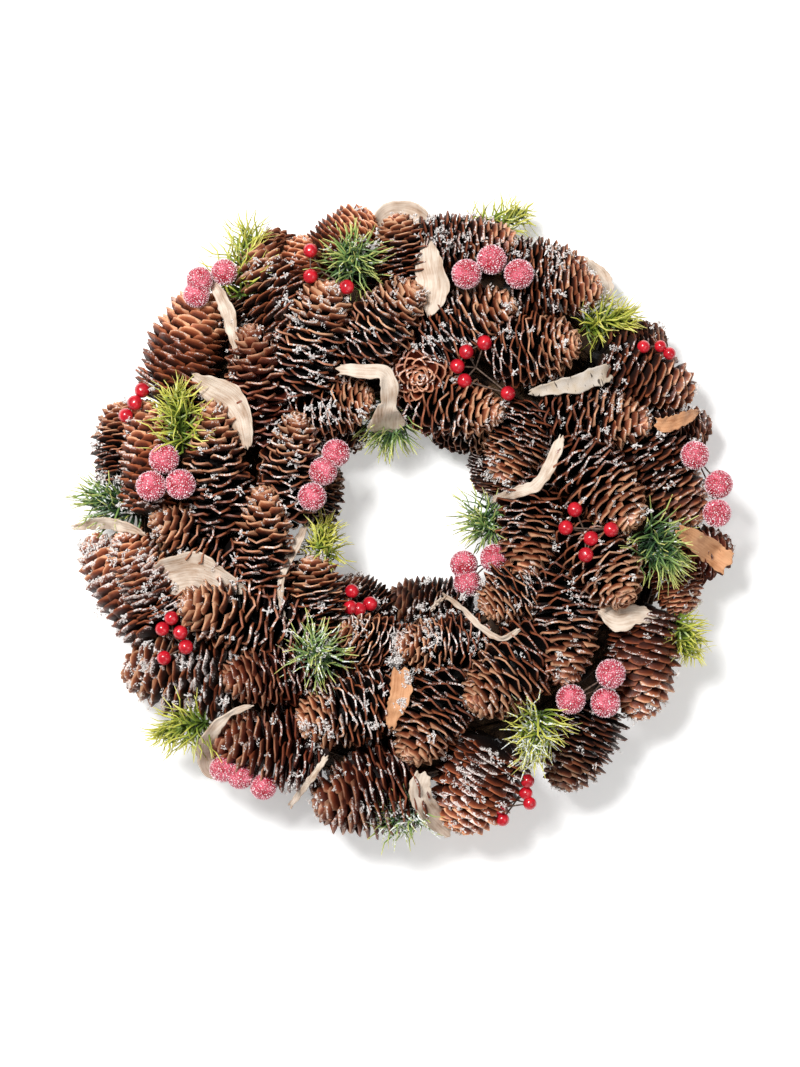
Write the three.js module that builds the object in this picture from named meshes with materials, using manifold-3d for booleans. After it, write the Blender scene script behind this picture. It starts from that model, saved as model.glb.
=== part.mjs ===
// A pine-cone wreath with frosted and red berries, needle sprigs and pieces of birch bark, lying on its back.
// Millimetres. +Z is the side that faces the room when the wreath hangs, and +Y is its top.
// Every place is measured from the middle of the ring, looking at the front from far off.
// The whole is centred over the origin at the end.

import * as THREE from "three";
import { mergeVertices } from "three/addons/utils/BufferGeometryUtils.js";
import Module from "manifold-3d";

const wasm = await Module();
wasm.setup();

// Base ring: a flat-backed ring of twigs and straw
const RING_RADIUS = 108;
const RING_HALF_WIDTH = 42;
const RING_HEIGHT = 24;
const RING_STEPS = 18;
// Its section, as shares of the half width and the height
const FOOT_WIDTH = 0.74;
const SIDE_HEIGHT = 0.36;
const SHOULDER_WIDTH = 0.86;
const SHOULDER_HEIGHT = 0.78;
const TOP_WIDTH = 0.4;

// Crown: the arched bed that the cones' axes lie on, lowest at the hole and at the outer edge
const CROWN_RADIUS = 110;
const CROWN_REACH = 60;
const CROWN_LOW = 14;
const CROWN_RISE = 33;

// The front is seen from this far above the middle of the cones, a little left of and below the ring's middle
const SEEN_FROM = 2200;
const SEEN_HEIGHT = 41;
const SEEN_X = -1.65;
const SEEN_Y = -10.2;

// Fits
const CLEARANCE = 0.3;
const SEAT_ERROR = 0.1;
const LOWEST = 1.5;
const LIFT_STEP = 0.5;
const LONGEST_DROP = 60;
const LONGEST_SLIDE = 30;
const START_RISE = 46;
const BARK_DEEPEST = 8;
const BERRY_DEEPEST = 18;
const SPRIG_DEEPEST = 26;
const DOWN = new THREE.Vector3(0, 0, -1);
const SMALL_VOLUME = 0.005;
const SAME_POINT = 1e-4;

// Random numbers
const SEED_STEP = 7919;
const SEED_START = 13;
const RANDOM_FACTOR = 16807;
const RANDOM_PRIME = 2147483647;

// Cones: each row of scales has its roots, notches and tips at shares of its reach and of the rows' pitch
const SCALES_ROUND = 5;
const ROW_PITCH = 12.5;
const LEAST_ROWS = 3;
const SCALE_ROOT = 0.8;
const SCALE_NOTCH = 0.9;
const NOTCH_HEIGHT = 0.5;
const TIP_HEIGHT = 0.96;
const TIP_SHARE = 0.17;
const TIP_ROOM = 0.5;
const BUTT_BULGE = 0.2;
const COVER_SIDES = 8;

// A cone's girth follows a sine from GIRTH_START over GIRTH_SPAN of a half turn, rounded by GIRTH_POWER. The
// reach of a row is the girth at WIDEST_IN_ROW of its pitch.
const GIRTH_START = 0.34;
const GIRTH_SPAN = 0.56;
const GIRTH_POWER = 0.65;
const WIDEST_IN_ROW = 0.75;

// Bars on the ring, hidden under each clock hour's cones, which wires tie to them. The reach of a bar and the
// margin that wires keep from its ends are in degrees, and a wire holds its cone at a share of its length.
const HOURS = 12;
const HOUR_DEGREES = 360 / HOURS;
const BAR_WIDTH = 6;
const BAR_HEIGHT = 7;
const BAR_REACH = 12;
const BAR_MARGIN = 1;
const BINDING_RADIUS = 1.5;
const WIRE_HOLD = 0.4;
const WIRE_SIDES = 3;

// Berries and their wires. A berry's detail is its faces round and from pole to pole.
const WIRE_RADIUS = 0.7;
const FROSTED_DETAIL = [6, 4];
const RED_DETAIL = [5, 3];

// Needles leave the stem from FIRST_NEEDLE over NEEDLE_RUN of its length, at spreads in degrees, and their
// lengths are SHORTEST_NEEDLE to that and NEEDLE_VARIETY of the sprig's needle length
const NEEDLES = 9;
const NEEDLE_SIDES = 3;
const NEEDLE_ROOT = 1.5;
const NEEDLE_TIP = 1.1;
const NEEDLE_START = 0.4;
const FIRST_NEEDLE = 0.12;
const NEEDLE_RUN = 0.7;
const SHORTEST_NEEDLE = 0.85;
const NEEDLE_VARIETY = 0.3;
const WIDEST_SPREAD = 74;
const LEAST_SPREAD = 24;
const SPREAD_JITTER = 8;
const STEM_SIDES = 5;
const STEM_ROOT = 2.1;
const STEM_TIP = 1.5;

// Bark
const BARK_THICKNESS = 1.5;

const COLOURS = {
  ring: [0x6b4a30, 0.95],
  cone: [0x7a4a2e, 0.75],
  frosted: [0xdf7f8a, 0.85],
  red: [0xc8202c, 0.3],
  yellowNeedle: [0x9aa83c, 0.6],
  greenNeedle: [0x3f6a3a, 0.6],
  paleBark: [0xe2d3bf, 0.85],
  tanBark: [0xc98e5e, 0.85],
};

// One row a cone: tip x, y and rise, base x, y and rise, and width. A rise is a height over the crown there.
const CONES = [
  [-4, 166, 14, 3, 126, 2, 31],
  [8, 127, 6, -26, 88, 2, 37],
  [9, 77, 20, 10, 79, -22, 29],
  [62, 118, 8, 15, 96, 0, 38],
  [64, 154, 8, 16, 146, 6, 30],
  [102, 139, 6, 60, 146, 2, 28],
  [110, 124, 14, 62, 124, 4, 33],
  [97, 95, 16, 55, 90, 4, 38],
  [55, 55, 12, 17, 60, 6, 34],
  [161, 67, 10, 112, 85, 2, 37],
  [146, 99, 2, 118, 92, -4, 28],
  [137, 50, 14, 82, 55, 0, 34],
  [169, 50, 2, 138, 44, -4, 27],
  [54, 17, 12, 71, 56, 2, 36],
  [52, 38, 0, 23, 44, -2, 25],
  [38, 13, 0, 43, 36, -4, 25],
  [129, -6, 18, 92, 32, 4, 41],
  [163, -5, 6, 134, 40, 2, 35],
  [69, -35, 10, 74, 14, 4, 35],
  [182, -21, 2, 150, -25, -2, 28],
  [123, -48, 20, 100, -10, 2, 42],
  [155, -55, 2, 146, -24, 0, 30],
  [43, -52, 14, 74, -31, 2, 36],
  [89, -94, 10, 89, -36, 2, 38],
  [128, -114, 6, 131, -58, 2, 38],
  [37, -107, 12, 74, -72, 2, 42],
  [93, -152, 6, 110, -108, 0, 38],
  [27, -171, 8, 57, -122, 0, 38],
  [2, -133, 14, 27, -90, 2, 39],
  [-5, -72, 10, 41, -72, 2, 33],
  [-4, -41, 0, 27, -43, -2, 26],
  [-58, -116, 10, -12, -100, 2, 36],
  [-52, -154, 8, -5, -138, 0, 42],
  [-36, -62, 8, -4, -76, 0, 31],
  [-32, -33, 0, -8, -55, -4, 27],
  [-106, -133, 8, -52, -121, 2, 42],
  [-100, -90, 10, -54, -83, 2, 34],
  [-154, -84, 4, -104, -88, 0, 44],
  [-124, -48, 14, -62, -62, 2, 40],
  [-51, -22, 12, -46, -64, 2, 36],
  [-172, -13, 2, -140, -58, 2, 36],
  [-155, -8, 8, -134, -50, 6, 34],
  [-139, 0, 8, -90, -26, -2, 34],
  [-77, 16, 12, -76, -44, 2, 34],
  [-32, 28, 0, -40, -4, -2, 28],
  [-160, 63, 2, -158, 22, 2, 29],
  [-142, 64, 4, -140, 8, 6, 31],
  [-105, 63, 12, -101, -2, 2, 36],
  [-112, 123, 8, -127, 70, 2, 42],
  [-58, 56, 14, -65, 4, 4, 34],
  [-83, 150, 8, -52, 106, 4, 38],
  [-84, 105, 14, -77, 46, 0, 35],
  [-72, 160, 2, -62, 136, -4, 27],
  [-54, 158, 4, -56, 122, 0, 32],
  [-40, 129, 14, -54, 74, 4, 43],
  [-18, 67, 10, -57, 59, 0, 35],
  [-14, 37, 0, -38, 42, -2, 26],
  [-17, 172, 6, -44, 145, 4, 33],
];

// One row a pick: clock hour, berry radius and the places of its berries
const FROSTED_PICKS = [
  ["10", 7.2, [[-112, 129], [-114, 122], [-99, 134]]],
  ["1", 8.1, [[35, 133], [49, 141], [64, 133]]],
  ["3", 7.8, [[161, 33], [174, 17], [173, 1]]],
  ["4", 8.1, [[93, -102], [115, -88], [112, -104]]],
  ["7", 7.3, [[-99, -140], [-90, -144], [-77, -150]]],
  ["9", 8.2, [[-132, 31], [-139, 16], [-123, 17]]],
  ["hole_9", 7.7, [[-37, 34], [-44, 24], [-50, 10]]],
  ["hole_4", 7.2, [[31, -28], [33, -37], [47, -22]]],
];

const RED_PICKS = [
  ["10", 4.2, [[-144, 69], [-148, 62], [-153, 55]]],
  ["11", 4.1, [[-51, 146], [-51, 132], [-31, 126]]],
  ["1", 4.1, [[45, 95], [35, 90], [30, 82], [34, 74], [58, 67]]],
  ["2", 3.5, [[133, 93], [142, 93], [147, 89]]],
  ["3", 4.2, [[95, 3], [90, -7], [115, -8], [104, -13], [101, -22]]],
  ["5", 3.8, [[69, -147], [68, -154], [70, -159], [53, -162], [55, -168]]],
  ["8", 4.1, [[-128, -57], [-133, -63], [-123, -65], [-120, -73], [-132, -79]]],
  ["7", 4.0, [[-28, -42], [-29, -51], [-24, -52], [-18, -49]]],
];

// One row a sprig: clock hour, green or not, base x, y and rise, tip x, y and rise, needle length
const SPRIGS = [
  ["11", false, -89, 127, 8, -88, 150, 26, 19],
  ["10", false, -121, 36, 12, -124, 62, 26, 19],
  ["12", true, -28, 141, 14, -28, 145, 38, 19],
  ["1", false, 32, 168, 10, 60, 176, 22, 16],
  ["2", false, 104, 106, 12, 120, 108, 24, 17],
  ["3", true, 129, -10, 16, 143, -24, 34, 22],
  ["4", false, 149, -58, 18, 158, -71, 32, 15],
  ["5", false, 76, -108, 14, 71, -128, 28, 18],
  ["8", false, -108, -115, 10, -130, -121, 22, 19],
  ["9", true, -150, 4, 8, -172, 5, 24, 19],
  ["hole_9", false, -45, -25, 22, -43, -11, 36, 14],
  ["7", true, -48, -79, 14, -48, -75, 34, 20],
  ["hole_3", true, 52, -3, 18, 38, -1, 36, 14],
  ["hole_12", true, -2, 56, -2, -4, 43, 12, 15],
  ["6", true, -2, -151, 8, -2, -165, 26, 17],
];

// One piece of bark each: name, tan or not, lean of its width in degrees, and points of x, y, rise and width
const BARK = [
  ["10", false, 30, [[-107, 129, 26, 6], [-98, 115, 22, 6], [-91, 97, 20, 6]]],
  ["collar", false, 14, [[-115, 75, 22, 10], [-100, 70, 22, 18], [-88, 58, 22, 15], [-85, 39, 22, 9]]],
  ["arch", false, 40, [[-14, 164, 20, 8], [-5, 171, 24, 13], [5, 166, 24, 13], [15, 153, 20, 7]]],
  ["leaf", false, 10, [[13, 153, 22, 4], [18, 139, 24, 16], [20, 126, 24, 19], [13, 112, 22, 9]]],
  [
    "bracket",
    false,
    20,
    [[-39, 79, 22, 6], [-20, 79, 24, 7], [-8, 73, 24, 9], [-7, 60, 24, 11], [-7, 49, 22, 14]],
  ],
  ["2", false, 15, [[70, 66, 14, 5], [87, 71, 18, 11], [102, 78, 20, 13], [115, 78, 18, 4]]],
  ["tan_2", true, 5, [[138, 48, 20, 10], [151, 52, 20, 9], [163, 58, 18, 4]]],
  ["tan_3", true, 5, [[154, -12, 20, 9], [166, -19, 20, 11], [178, -25, 20, 8]]],
  ["4", false, 5, [[109, -55, 18, 6], [125, -56, 20, 11], [145, -58, 20, 4]]],
  ["tan_6", true, 5, [[1, -84, 22, 12], [-1, -101, 24, 12], [-5, -116, 22, 9]]],
  ["6", false, 35, [[13, -142, 18, 8], [8, -154, 22, 8], [12, -165, 22, 8], [24, -176, 18, 7]]],
  [
    "curl",
    false,
    50,
    [[-78, -105, 16, 7], [-96, -111, 20, 9], [-109, -121, 22, 11], [-112, -133, 22, 10], [-104, -143, 18, 6]],
  ],
  ["wedge", false, 10, [[-138, -45, 14, 12], [-125, -35, 16, 22], [-107, -30, 16, 20], [-86, -42, 14, 7]]],
  ["9", false, 35, [[-180, -9, 18, 6], [-161, -4, 20, 8], [-141, -11, 18, 6]]],
  ["hole_9", false, 40, [[-54, -5, 14, 6], [-64, -21, 18, 8], [-66, -35, 18, 7], [-66, -51, 14, 5]]],
  ["hole_2", false, 15, [[86, 41, 20, 8], [82, 29, 22, 8], [77, 18, 22, 6], [64, 12, 22, 9], [49, 7, 20, 4]]],
];

// A small repeatable random generator, from 0 to 1: each number is a multiple of the last, within a prime.
function seededRandom(seed) {
  let state = seed * SEED_STEP + SEED_START;
  return () => {
    state = (state * RANDOM_FACTOR) % RANDOM_PRIME;
    return state / RANDOM_PRIME;
  };
}

// Height of the crown over the back, at a place on the front.
function crownHeight(x, y) {
  const across = (Math.hypot(x, y) - CROWN_RADIUS) / CROWN_REACH;
  return CROWN_LOW + CROWN_RISE * Math.sqrt(Math.max(0, 1 - across * across));
}

// The point at a rise over the crown that shows at x, y on the front.
function placed(x, y, rise) {
  const z = crownHeight(x, y) + rise;
  const shrink = (SEEN_FROM - (z - SEEN_HEIGHT)) / SEEN_FROM;
  return new THREE.Vector3(SEEN_X + (x - SEEN_X) * shrink, SEEN_Y + (y - SEEN_Y) * shrink, z);
}

// A closed geometry from points and the faces between them.
function meshed(points, faces) {
  const geometry = new THREE.BufferGeometry();
  const coordinates = points.flatMap((point) => [point.x, point.y, point.z]);
  geometry.setAttribute("position", new THREE.Float32BufferAttribute(coordinates, 3));
  geometry.setIndex(faces);
  return geometry;
}

// A solid from a closed geometry.
function solidOf(geometry) {
  const bare = new THREE.BufferGeometry().setAttribute("position", geometry.getAttribute("position"));
  bare.setIndex(geometry.index);
  const merged = mergeVertices(bare, SAME_POINT);
  return new wasm.Manifold(
    new wasm.Mesh({
      numProp: 3,
      vertProperties: new Float32Array(merged.getAttribute("position").array),
      triVerts: new Uint32Array(merged.index.array),
    }),
  );
}

// The geometry of a solid.
function geometryOf(solid) {
  const mesh = solid.getMesh();
  const geometry = new THREE.BufferGeometry();
  geometry.setAttribute("position", new THREE.BufferAttribute(new Float32Array(mesh.vertProperties), 3));
  geometry.setIndex(new THREE.BufferAttribute(new Uint32Array(mesh.triVerts), 1));
  geometry.computeVertexNormals();
  return geometry;
}

function joined(solids) {
  return solids.reduce((sum, solid) => sum.add(solid));
}

function largestBody(solid) {
  return solid.decompose().reduce((best, body) => (body.volume() > best.volume() ? body : best));
}

// Moves a geometry that stands along +Y from the origin so that it points from one place to another.
function stood(geometry, from, to) {
  const along = new THREE.Vector3().subVectors(to, from).normalize();
  const turn = new THREE.Quaternion().setFromUnitVectors(new THREE.Vector3(0, 1, 0), along);
  return geometry.applyQuaternion(turn).translate(from.x, from.y, from.z);
}

// A closed body through rings of points with flat ends. The rings turn anticlockwise seen from the last one.
function lofted(rings) {
  const count = rings[0].length;
  const faces = [];
  for (let start = 0; start < (rings.length - 1) * count; start += count) {
    for (let i = 0; i < count; i++) {
      const here = start + i;
      const beside = start + ((i + 1) % count);
      faces.push(here, beside, beside + count, here, beside + count, here + count);
    }
  }
  const last = (rings.length - 1) * count;
  for (let i = 1; i + 1 < count; i++) {
    faces.push(0, i + 1, i, last, last + i, last + i + 1);
  }
  return meshed(rings.flat(), faces);
}

// A straight rod between two places, thinner at its end where its end radius is smaller.
function rod(from, to, startRadius, endRadius, sides) {
  const length = from.distanceTo(to);
  const rings = [roundPoints(startRadius, 0, 0, sides), roundPoints(endRadius, length, 0, sides)];
  return solidOf(stood(lofted(rings), from, to));
}

// Whether two solids' boxes come within a distance of each other, seen from the front.
function besides(a, b, distance) {
  const one = a.boundingBox();
  const two = b.boundingBox();
  return [0, 1].every((k) => one.min[k] - distance < two.max[k] && two.min[k] - distance < one.max[k]);
}

// How far a solid goes one way until it is at the clearance from its carriers, or the longest way if it meets
// none. It backs out first if it starts in one of them.
function travel(solid, carriers, way, longest) {
  const sideways = longest * Math.hypot(way.x, way.y) + CLEARANCE;
  const near = carriers.filter((carrier) => besides(solid, carrier, sideways));
  const gapAt = (far) => {
    const moved = solid.translate([way.x * far, way.y * far, way.z * far]);
    return near.reduce((least, carrier) => Math.min(least, moved.minGap(carrier, least)), LONGEST_DROP);
  };
  let far = 0;
  while (gapAt(far) < CLEARANCE) {
    far -= LIFT_STEP;
  }
  for (let gap = gapAt(far); gap > CLEARANCE + SEAT_ERROR && far < longest; gap = gapAt(far)) {
    far = Math.min(longest, far + gap - CLEARANCE);
  }
  return far;
}

// The move that seats a solid: down onto its carriers, and from the deepest rise in towards the ring.
function seated(solid, carriers, deepest) {
  const { min, max } = solid.boundingBox();
  const centre = new THREE.Vector3(min[0] + max[0], min[1] + max[1], min[2] + max[2]).multiplyScalar(0.5);
  const room = Math.max(0, centre.z - crownHeight(centre.x, centre.y) - deepest);
  const move = DOWN.clone().multiplyScalar(travel(solid, carriers, DOWN, room));
  const lowered = centre.clone().add(move);
  const around = Math.atan2(lowered.y, lowered.x);
  const core = new THREE.Vector3(RING_RADIUS * Math.cos(around), RING_RADIUS * Math.sin(around), CROWN_LOW);
  const inward = core.sub(lowered).normalize();
  const slide = travel(solid.translate(move.toArray()), carriers, inward, LONGEST_SLIDE);
  return move.addScaledVector(inward, slide);
}

// Section of the base ring: flat below, round above, as distance from the ring's middle line and height.
function ringSection(extra) {
  const half = RING_HALF_WIDTH + extra;
  const high = RING_HEIGHT + extra;
  return [
    [-half * FOOT_WIDTH, -extra],
    [half * FOOT_WIDTH, -extra],
    [half, high * SIDE_HEIGHT],
    [half * SHOULDER_WIDTH, high * SHOULDER_HEIGHT],
    [half * TOP_WIDTH, high],
    [-half * TOP_WIDTH, high],
    [-half * SHOULDER_WIDTH, high * SHOULDER_HEIGHT],
    [-half, high * SIDE_HEIGHT],
  ];
}

// The base ring, larger all round by the extra.
function ringSolid(extra) {
  const section = ringSection(extra);
  const points = [];
  const faces = [];
  for (let step = 0; step < RING_STEPS; step++) {
    const angle = (2 * Math.PI * step) / RING_STEPS;
    for (const [out, up] of section) {
      const radius = RING_RADIUS + out;
      points.push(new THREE.Vector3(radius * Math.cos(angle), radius * Math.sin(angle), up));
    }
    const here = step * section.length;
    const next = ((step + 1) % RING_STEPS) * section.length;
    for (let i = 0; i < section.length; i++) {
      const j = (i + 1) % section.length;
      faces.push(here + i, next + i, next + j, here + i, next + j, here + j);
    }
  }
  return solidOf(meshed(points, faces));
}

// A cone's girth along its axis, as a share of its greatest half width, from base to tip.
function girth(along) {
  return Math.pow(Math.sin(Math.PI * (GIRTH_START + GIRTH_SPAN * along)), GIRTH_POWER);
}

// Evenly spaced points round the +Y axis at one height.
function roundPoints(radius, height, turn, count) {
  return Array.from({ length: count }, (_, i) => {
    const angle = turn + (2 * Math.PI * i) / count;
    return new THREE.Vector3(radius * Math.sin(angle), height, radius * Math.cos(angle));
  });
}

// The rows of scales of a cone from base to tip: the height of the roots, the pitch and the reach of tips.
function scaleRows(length, width) {
  const count = Math.max(LEAST_ROWS, Math.round(length / ROW_PITCH));
  const pitch = length / (count + TIP_ROOM);
  return Array.from({ length: count }, (_, row) => {
    const low = row * pitch;
    return { low, pitch, reach: (width / 2) * girth((low + pitch * WIDEST_IN_ROW) / length) };
  });
}

// The relief of one cone standing on +Y: rows of scales that reach out and forward, each half a scale round.
function coneGeometry(length, width) {
  const rows = scaleRows(length, width);
  const step = (2 * Math.PI) / SCALES_ROUND;
  const points = [new THREE.Vector3(0, -rows[0].pitch * BUTT_BULGE, 0)];
  const roots = [];
  const edges = [];
  rows.forEach(({ low, pitch, reach }, row) => {
    const turn = (row * step) / 2;
    roots.push(points.length);
    points.push(...roundPoints(reach * SCALE_ROOT, low, turn, SCALES_ROUND));
    edges.push(points.length);
    const notches = roundPoints(reach * SCALE_NOTCH, low + pitch * NOTCH_HEIGHT, turn, SCALES_ROUND);
    const tips = roundPoints(reach, low + pitch * TIP_HEIGHT, turn + step / 2, SCALES_ROUND);
    notches.forEach((notch, i) => points.push(notch, tips[i]));
  });
  const top = rows.length * rows[0].pitch;
  roots.push(points.length);
  points.push(...roundPoints(width * TIP_SHARE, top, (rows.length * step) / 2, SCALES_ROUND));
  points.push(new THREE.Vector3(0, length, 0));
  return meshed(points, coneFaces(points.length, roots, edges));
}

// Joins the rings of points at the scales' roots with those along their edges, and closes both ends.
function coneFaces(pointCount, roots, edges) {
  const faces = [];
  for (let i = 0; i < SCALES_ROUND; i++) {
    const j = (i + 1) % SCALES_ROUND;
    faces.push(0, roots[0] + j, roots[0] + i);
    faces.push(pointCount - 1, roots.at(-1) + i, roots.at(-1) + j);
  }
  edges.forEach((edge, row) => {
    const root = roots[row];
    const next = roots[row + 1];
    for (let i = 0; i < SCALES_ROUND; i++) {
      const j = (i + 1) % SCALES_ROUND;
      const notch = edge + 2 * i;
      const tip = notch + 1;
      const tipBefore = edge + 2 * ((i + SCALES_ROUND - 1) % SCALES_ROUND) + 1;
      faces.push(root + i, notch, tipBefore, root + i, tip, notch, root + i, root + j, tip);
      faces.push(next + i, notch, tip, next + i, tip, edge + 2 * j, next + i, edge + 2 * j, next + j);
    }
  });
  return faces;
}

// The smooth space round a cone's scale tips, for cutting what lies under the cone.
function coneCover(length, width) {
  const rows = scaleRows(length, width);
  const grown = (reach) => (reach + CLEARANCE) / Math.cos(Math.PI / COVER_SIDES);
  const profile = [
    new THREE.Vector2(0, -rows[0].pitch * BUTT_BULGE - CLEARANCE),
    new THREE.Vector2(grown(rows[0].reach * SCALE_ROOT), -CLEARANCE),
    ...rows.map(({ low, pitch, reach }) => new THREE.Vector2(grown(reach), low + pitch * TIP_HEIGHT)),
    new THREE.Vector2(0, length + 2 * CLEARANCE),
  ];
  return new THREE.LatheGeometry(profile, COVER_SIDES);
}

// The clock hour that a cone's middle lies at.
function hourOf(base, tip) {
  const middle = base.clone().lerp(tip, WIRE_HOLD);
  const hour = Math.round((90 - THREE.MathUtils.radToDeg(Math.atan2(middle.y, middle.x))) / HOUR_DEGREES);
  return ((hour + HOURS - 1) % HOURS) + 1;
}

// The bar along the ring that one hour's bunch is tied to, larger all round by the extra.
function tieBar(hour, extra) {
  const low = RING_HEIGHT + CLEARANCE - extra;
  const high = RING_HEIGHT + BAR_HEIGHT + extra;
  const inside = RING_RADIUS - BAR_WIDTH / 2 - extra;
  const outside = RING_RADIUS + BAR_WIDTH / 2 + extra;
  const corners = [[outside, low], [outside, high], [inside, high], [inside, low]];
  const rings = [-1, 0, 1].map((side) => {
    const angle = THREE.MathUtils.degToRad(90 - HOUR_DEGREES * hour - side * (BAR_REACH + extra));
    const across = new THREE.Vector3(Math.cos(angle), Math.sin(angle), 0);
    return corners.map(([radius, z]) => across.clone().multiplyScalar(radius).setZ(z));
  });
  return solidOf(lofted(rings));
}

// The place on one hour's bar that is nearest to a place on the crown.
function barPlace(hour, place) {
  const middle = 90 - HOUR_DEGREES * hour;
  const direction = THREE.MathUtils.radToDeg(Math.atan2(place.y, place.x));
  const off = THREE.MathUtils.euclideanModulo(direction - middle + 180, 360) - 180;
  const most = BAR_REACH - BAR_MARGIN;
  const angle = THREE.MathUtils.degToRad(middle + THREE.MathUtils.clamp(off, -most, most));
  const z = RING_HEIGHT + BAR_HEIGHT / 2 + CLEARANCE;
  return new THREE.Vector3(RING_RADIUS * Math.cos(angle), RING_RADIUS * Math.sin(angle), z);
}

// All the cones with their reliefs, covers and binding wires, highest first.
function makeCones() {
  const cones = CONES.map(([tipX, tipY, tipRise, baseX, baseY, baseRise, width]) => {
    const tip = placed(tipX, tipY, tipRise);
    const base = placed(baseX, baseY, baseRise);
    const hour = hourOf(base, tip);
    const length = base.distanceTo(tip);
    const held = base.clone().lerp(tip, WIRE_HOLD);
    const tied = barPlace(hour, held);
    const spaced = BINDING_RADIUS + 2 * CLEARANCE;
    return {
      hour,
      relief: solidOf(stood(coneGeometry(length, width), base, tip)),
      cover: solidOf(stood(coneCover(length, width), base, tip)),
      wire: rod(held, tied, BINDING_RADIUS, BINDING_RADIUS, WIRE_SIDES),
      wireSpace: rod(held, tied, spaced, spaced, WIRE_SIDES),
      height: base.z + tip.z,
    };
  });
  return cones.sort((a, b) => b.height - a.height);
}

// A solid less those of the spaces that it crosses.
function clearOf(solid, spaces) {
  const crossed = spaces.filter((space) => solid.intersect(space).volume() > SMALL_VOLUME);
  return crossed.reduce((rest, space) => rest.subtract(space), solid);
}

// The cones of one hour on their bar. Each gives way to the ring and to the higher cones of other hours.
// A cone gets a wire only where nothing else holds it. The space of each wire is added to those taken.
function coneBunch(hour, cones, ringSpace, takenByWires) {
  const own = cones.filter((cone) => cone.hour === hour);
  const others = cones.filter((cone) => cone.hour !== hour);
  const bars = [...new Set(others.map((cone) => cone.hour))].map((other) => tieBar(other, 2 * CLEARANCE));
  const fitted = own.map((cone) => {
    const above = others.filter((other) => other.height > cone.height).map((other) => other.cover);
    return clearOf(cone.relief, [...above, ...bars, ringSpace]).trimByPlane([0, 0, 1], LOWEST);
  });
  const wireLimits = [...others.map((other) => other.cover), ...bars, ringSpace, ...takenByWires];
  let bunch = joined([tieBar(hour, 0), ...fitted]);
  for (const cone of own) {
    const wired = bunch.add(clearOf(cone.wire, wireLimits));
    if (wired.decompose().length < bunch.decompose().length) {
      bunch = wired;
      takenByWires.push(cone.wireSpace);
    }
  }
  return largestBody(bunch);
}

// A sheet of bark along points with their widths, its width leaning up from flat, and thicker by the extra.
function barkSheet(rows, lean, extra) {
  const middle = rows.map(([x, y, rise]) => placed(x, y, rise));
  const up = new THREE.Vector3(0, 0, 1);
  const rings = rows.map(([, , , width], i) => {
    const before = middle[Math.max(0, i - 1)];
    const after = middle[Math.min(rows.length - 1, i + 1)];
    const along = new THREE.Vector3().subVectors(after, before).normalize();
    const side = new THREE.Vector3().crossVectors(up, along).normalize();
    const across = side.applyAxisAngle(along, THREE.MathUtils.degToRad(lean)).setLength((width + extra) / 2);
    const out = new THREE.Vector3().crossVectors(along, across).setLength((BARK_THICKNESS + extra) / 2);
    const centre = middle[i];
    return [
      centre.clone().sub(across).sub(out),
      centre.clone().add(across).sub(out),
      centre.clone().add(across).add(out),
      centre.clone().sub(across).add(out),
    ];
  });
  return solidOf(lofted(rings));
}

// Berries strung on wires from each to the next, larger by the extra.
function berryPick(centres, radius, detail, extra) {
  const berries = centres.map((centre) => berrySolid(centre, radius + extra, detail));
  const thick = WIRE_RADIUS + extra;
  const wires = centres.slice(1).map((centre, i) => rod(centres[i], centre, thick, thick, WIRE_SIDES));
  return joined([...berries, ...wires]);
}

function berrySolid(centre, radius, detail) {
  const [round, high] = detail;
  return solidOf(new THREE.SphereGeometry(radius, round, high).translate(centre.x, centre.y, centre.z));
}

// The resting places of a pick's berries: each dropped alone, then the low ones brought up near the highest.
function restingCentres(places, radius, detail, carriers) {
  const centres = places.map(([x, y]) => {
    const start = placed(x, y, START_RISE);
    start.z -= travel(berrySolid(start, radius, detail), carriers, DOWN, START_RISE - BERRY_DEEPEST);
    return start;
  });
  const highest = Math.max(...centres.map((centre) => centre.z));
  centres.forEach((centre) => {
    centre.z = Math.max(centre.z, highest - radius);
  });
  return centres;
}

// A sprig of plastic needles: a slim five-sided stem with three-sided needles that leave its flat sides.
function needleSprig(base, tip, needleLength, seed) {
  const random = seededRandom(seed);
  const height = base.distanceTo(tip);
  const low = new THREE.Vector3(0, 0, 0);
  const high = new THREE.Vector3(0, height, 0);
  const needles = Array.from({ length: NEEDLES }, (_, i) => {
    const share = i / (NEEDLES - 1);
    const side = THREE.MathUtils.degToRad((((i * 2) % STEM_SIDES) + 0.5) * (360 / STEM_SIDES));
    const lean = THREE.MathUtils.lerp(WIDEST_SPREAD, LEAST_SPREAD, share) + SPREAD_JITTER * random();
    const spread = THREE.MathUtils.degToRad(lean);
    const way = new THREE.Vector3(Math.sin(side), 0, Math.cos(side)).multiplyScalar(Math.sin(spread));
    way.y = Math.cos(spread);
    const up = height * (FIRST_NEEDLE + NEEDLE_RUN * share);
    const root = new THREE.Vector3(0, up, 0).addScaledVector(way, NEEDLE_START);
    const reach = needleLength * (SHORTEST_NEEDLE + NEEDLE_VARIETY * random());
    const end = root.clone().addScaledVector(way, reach);
    return rod(root, end, NEEDLE_ROOT / 2, NEEDLE_TIP / 2, NEEDLE_SIDES);
  });
  const sprig = joined([rod(low, high, STEM_ROOT, STEM_TIP, STEM_SIDES), ...needles]);
  const turn = new THREE.Quaternion().setFromUnitVectors(high.normalize(), tip.clone().sub(base).normalize());
  const place = new THREE.Matrix4().compose(base, turn, new THREE.Vector3(1, 1, 1));
  return sprig.transform(place.elements);
}

const group = new THREE.Group();

function addPiece(name, solid, [colour, roughness]) {
  const material = new THREE.MeshStandardMaterial({ color: colour, roughness, metalness: 0 });
  const mesh = new THREE.Mesh(geometryOf(solid), material);
  mesh.name = name;
  group.add(mesh);
}

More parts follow.
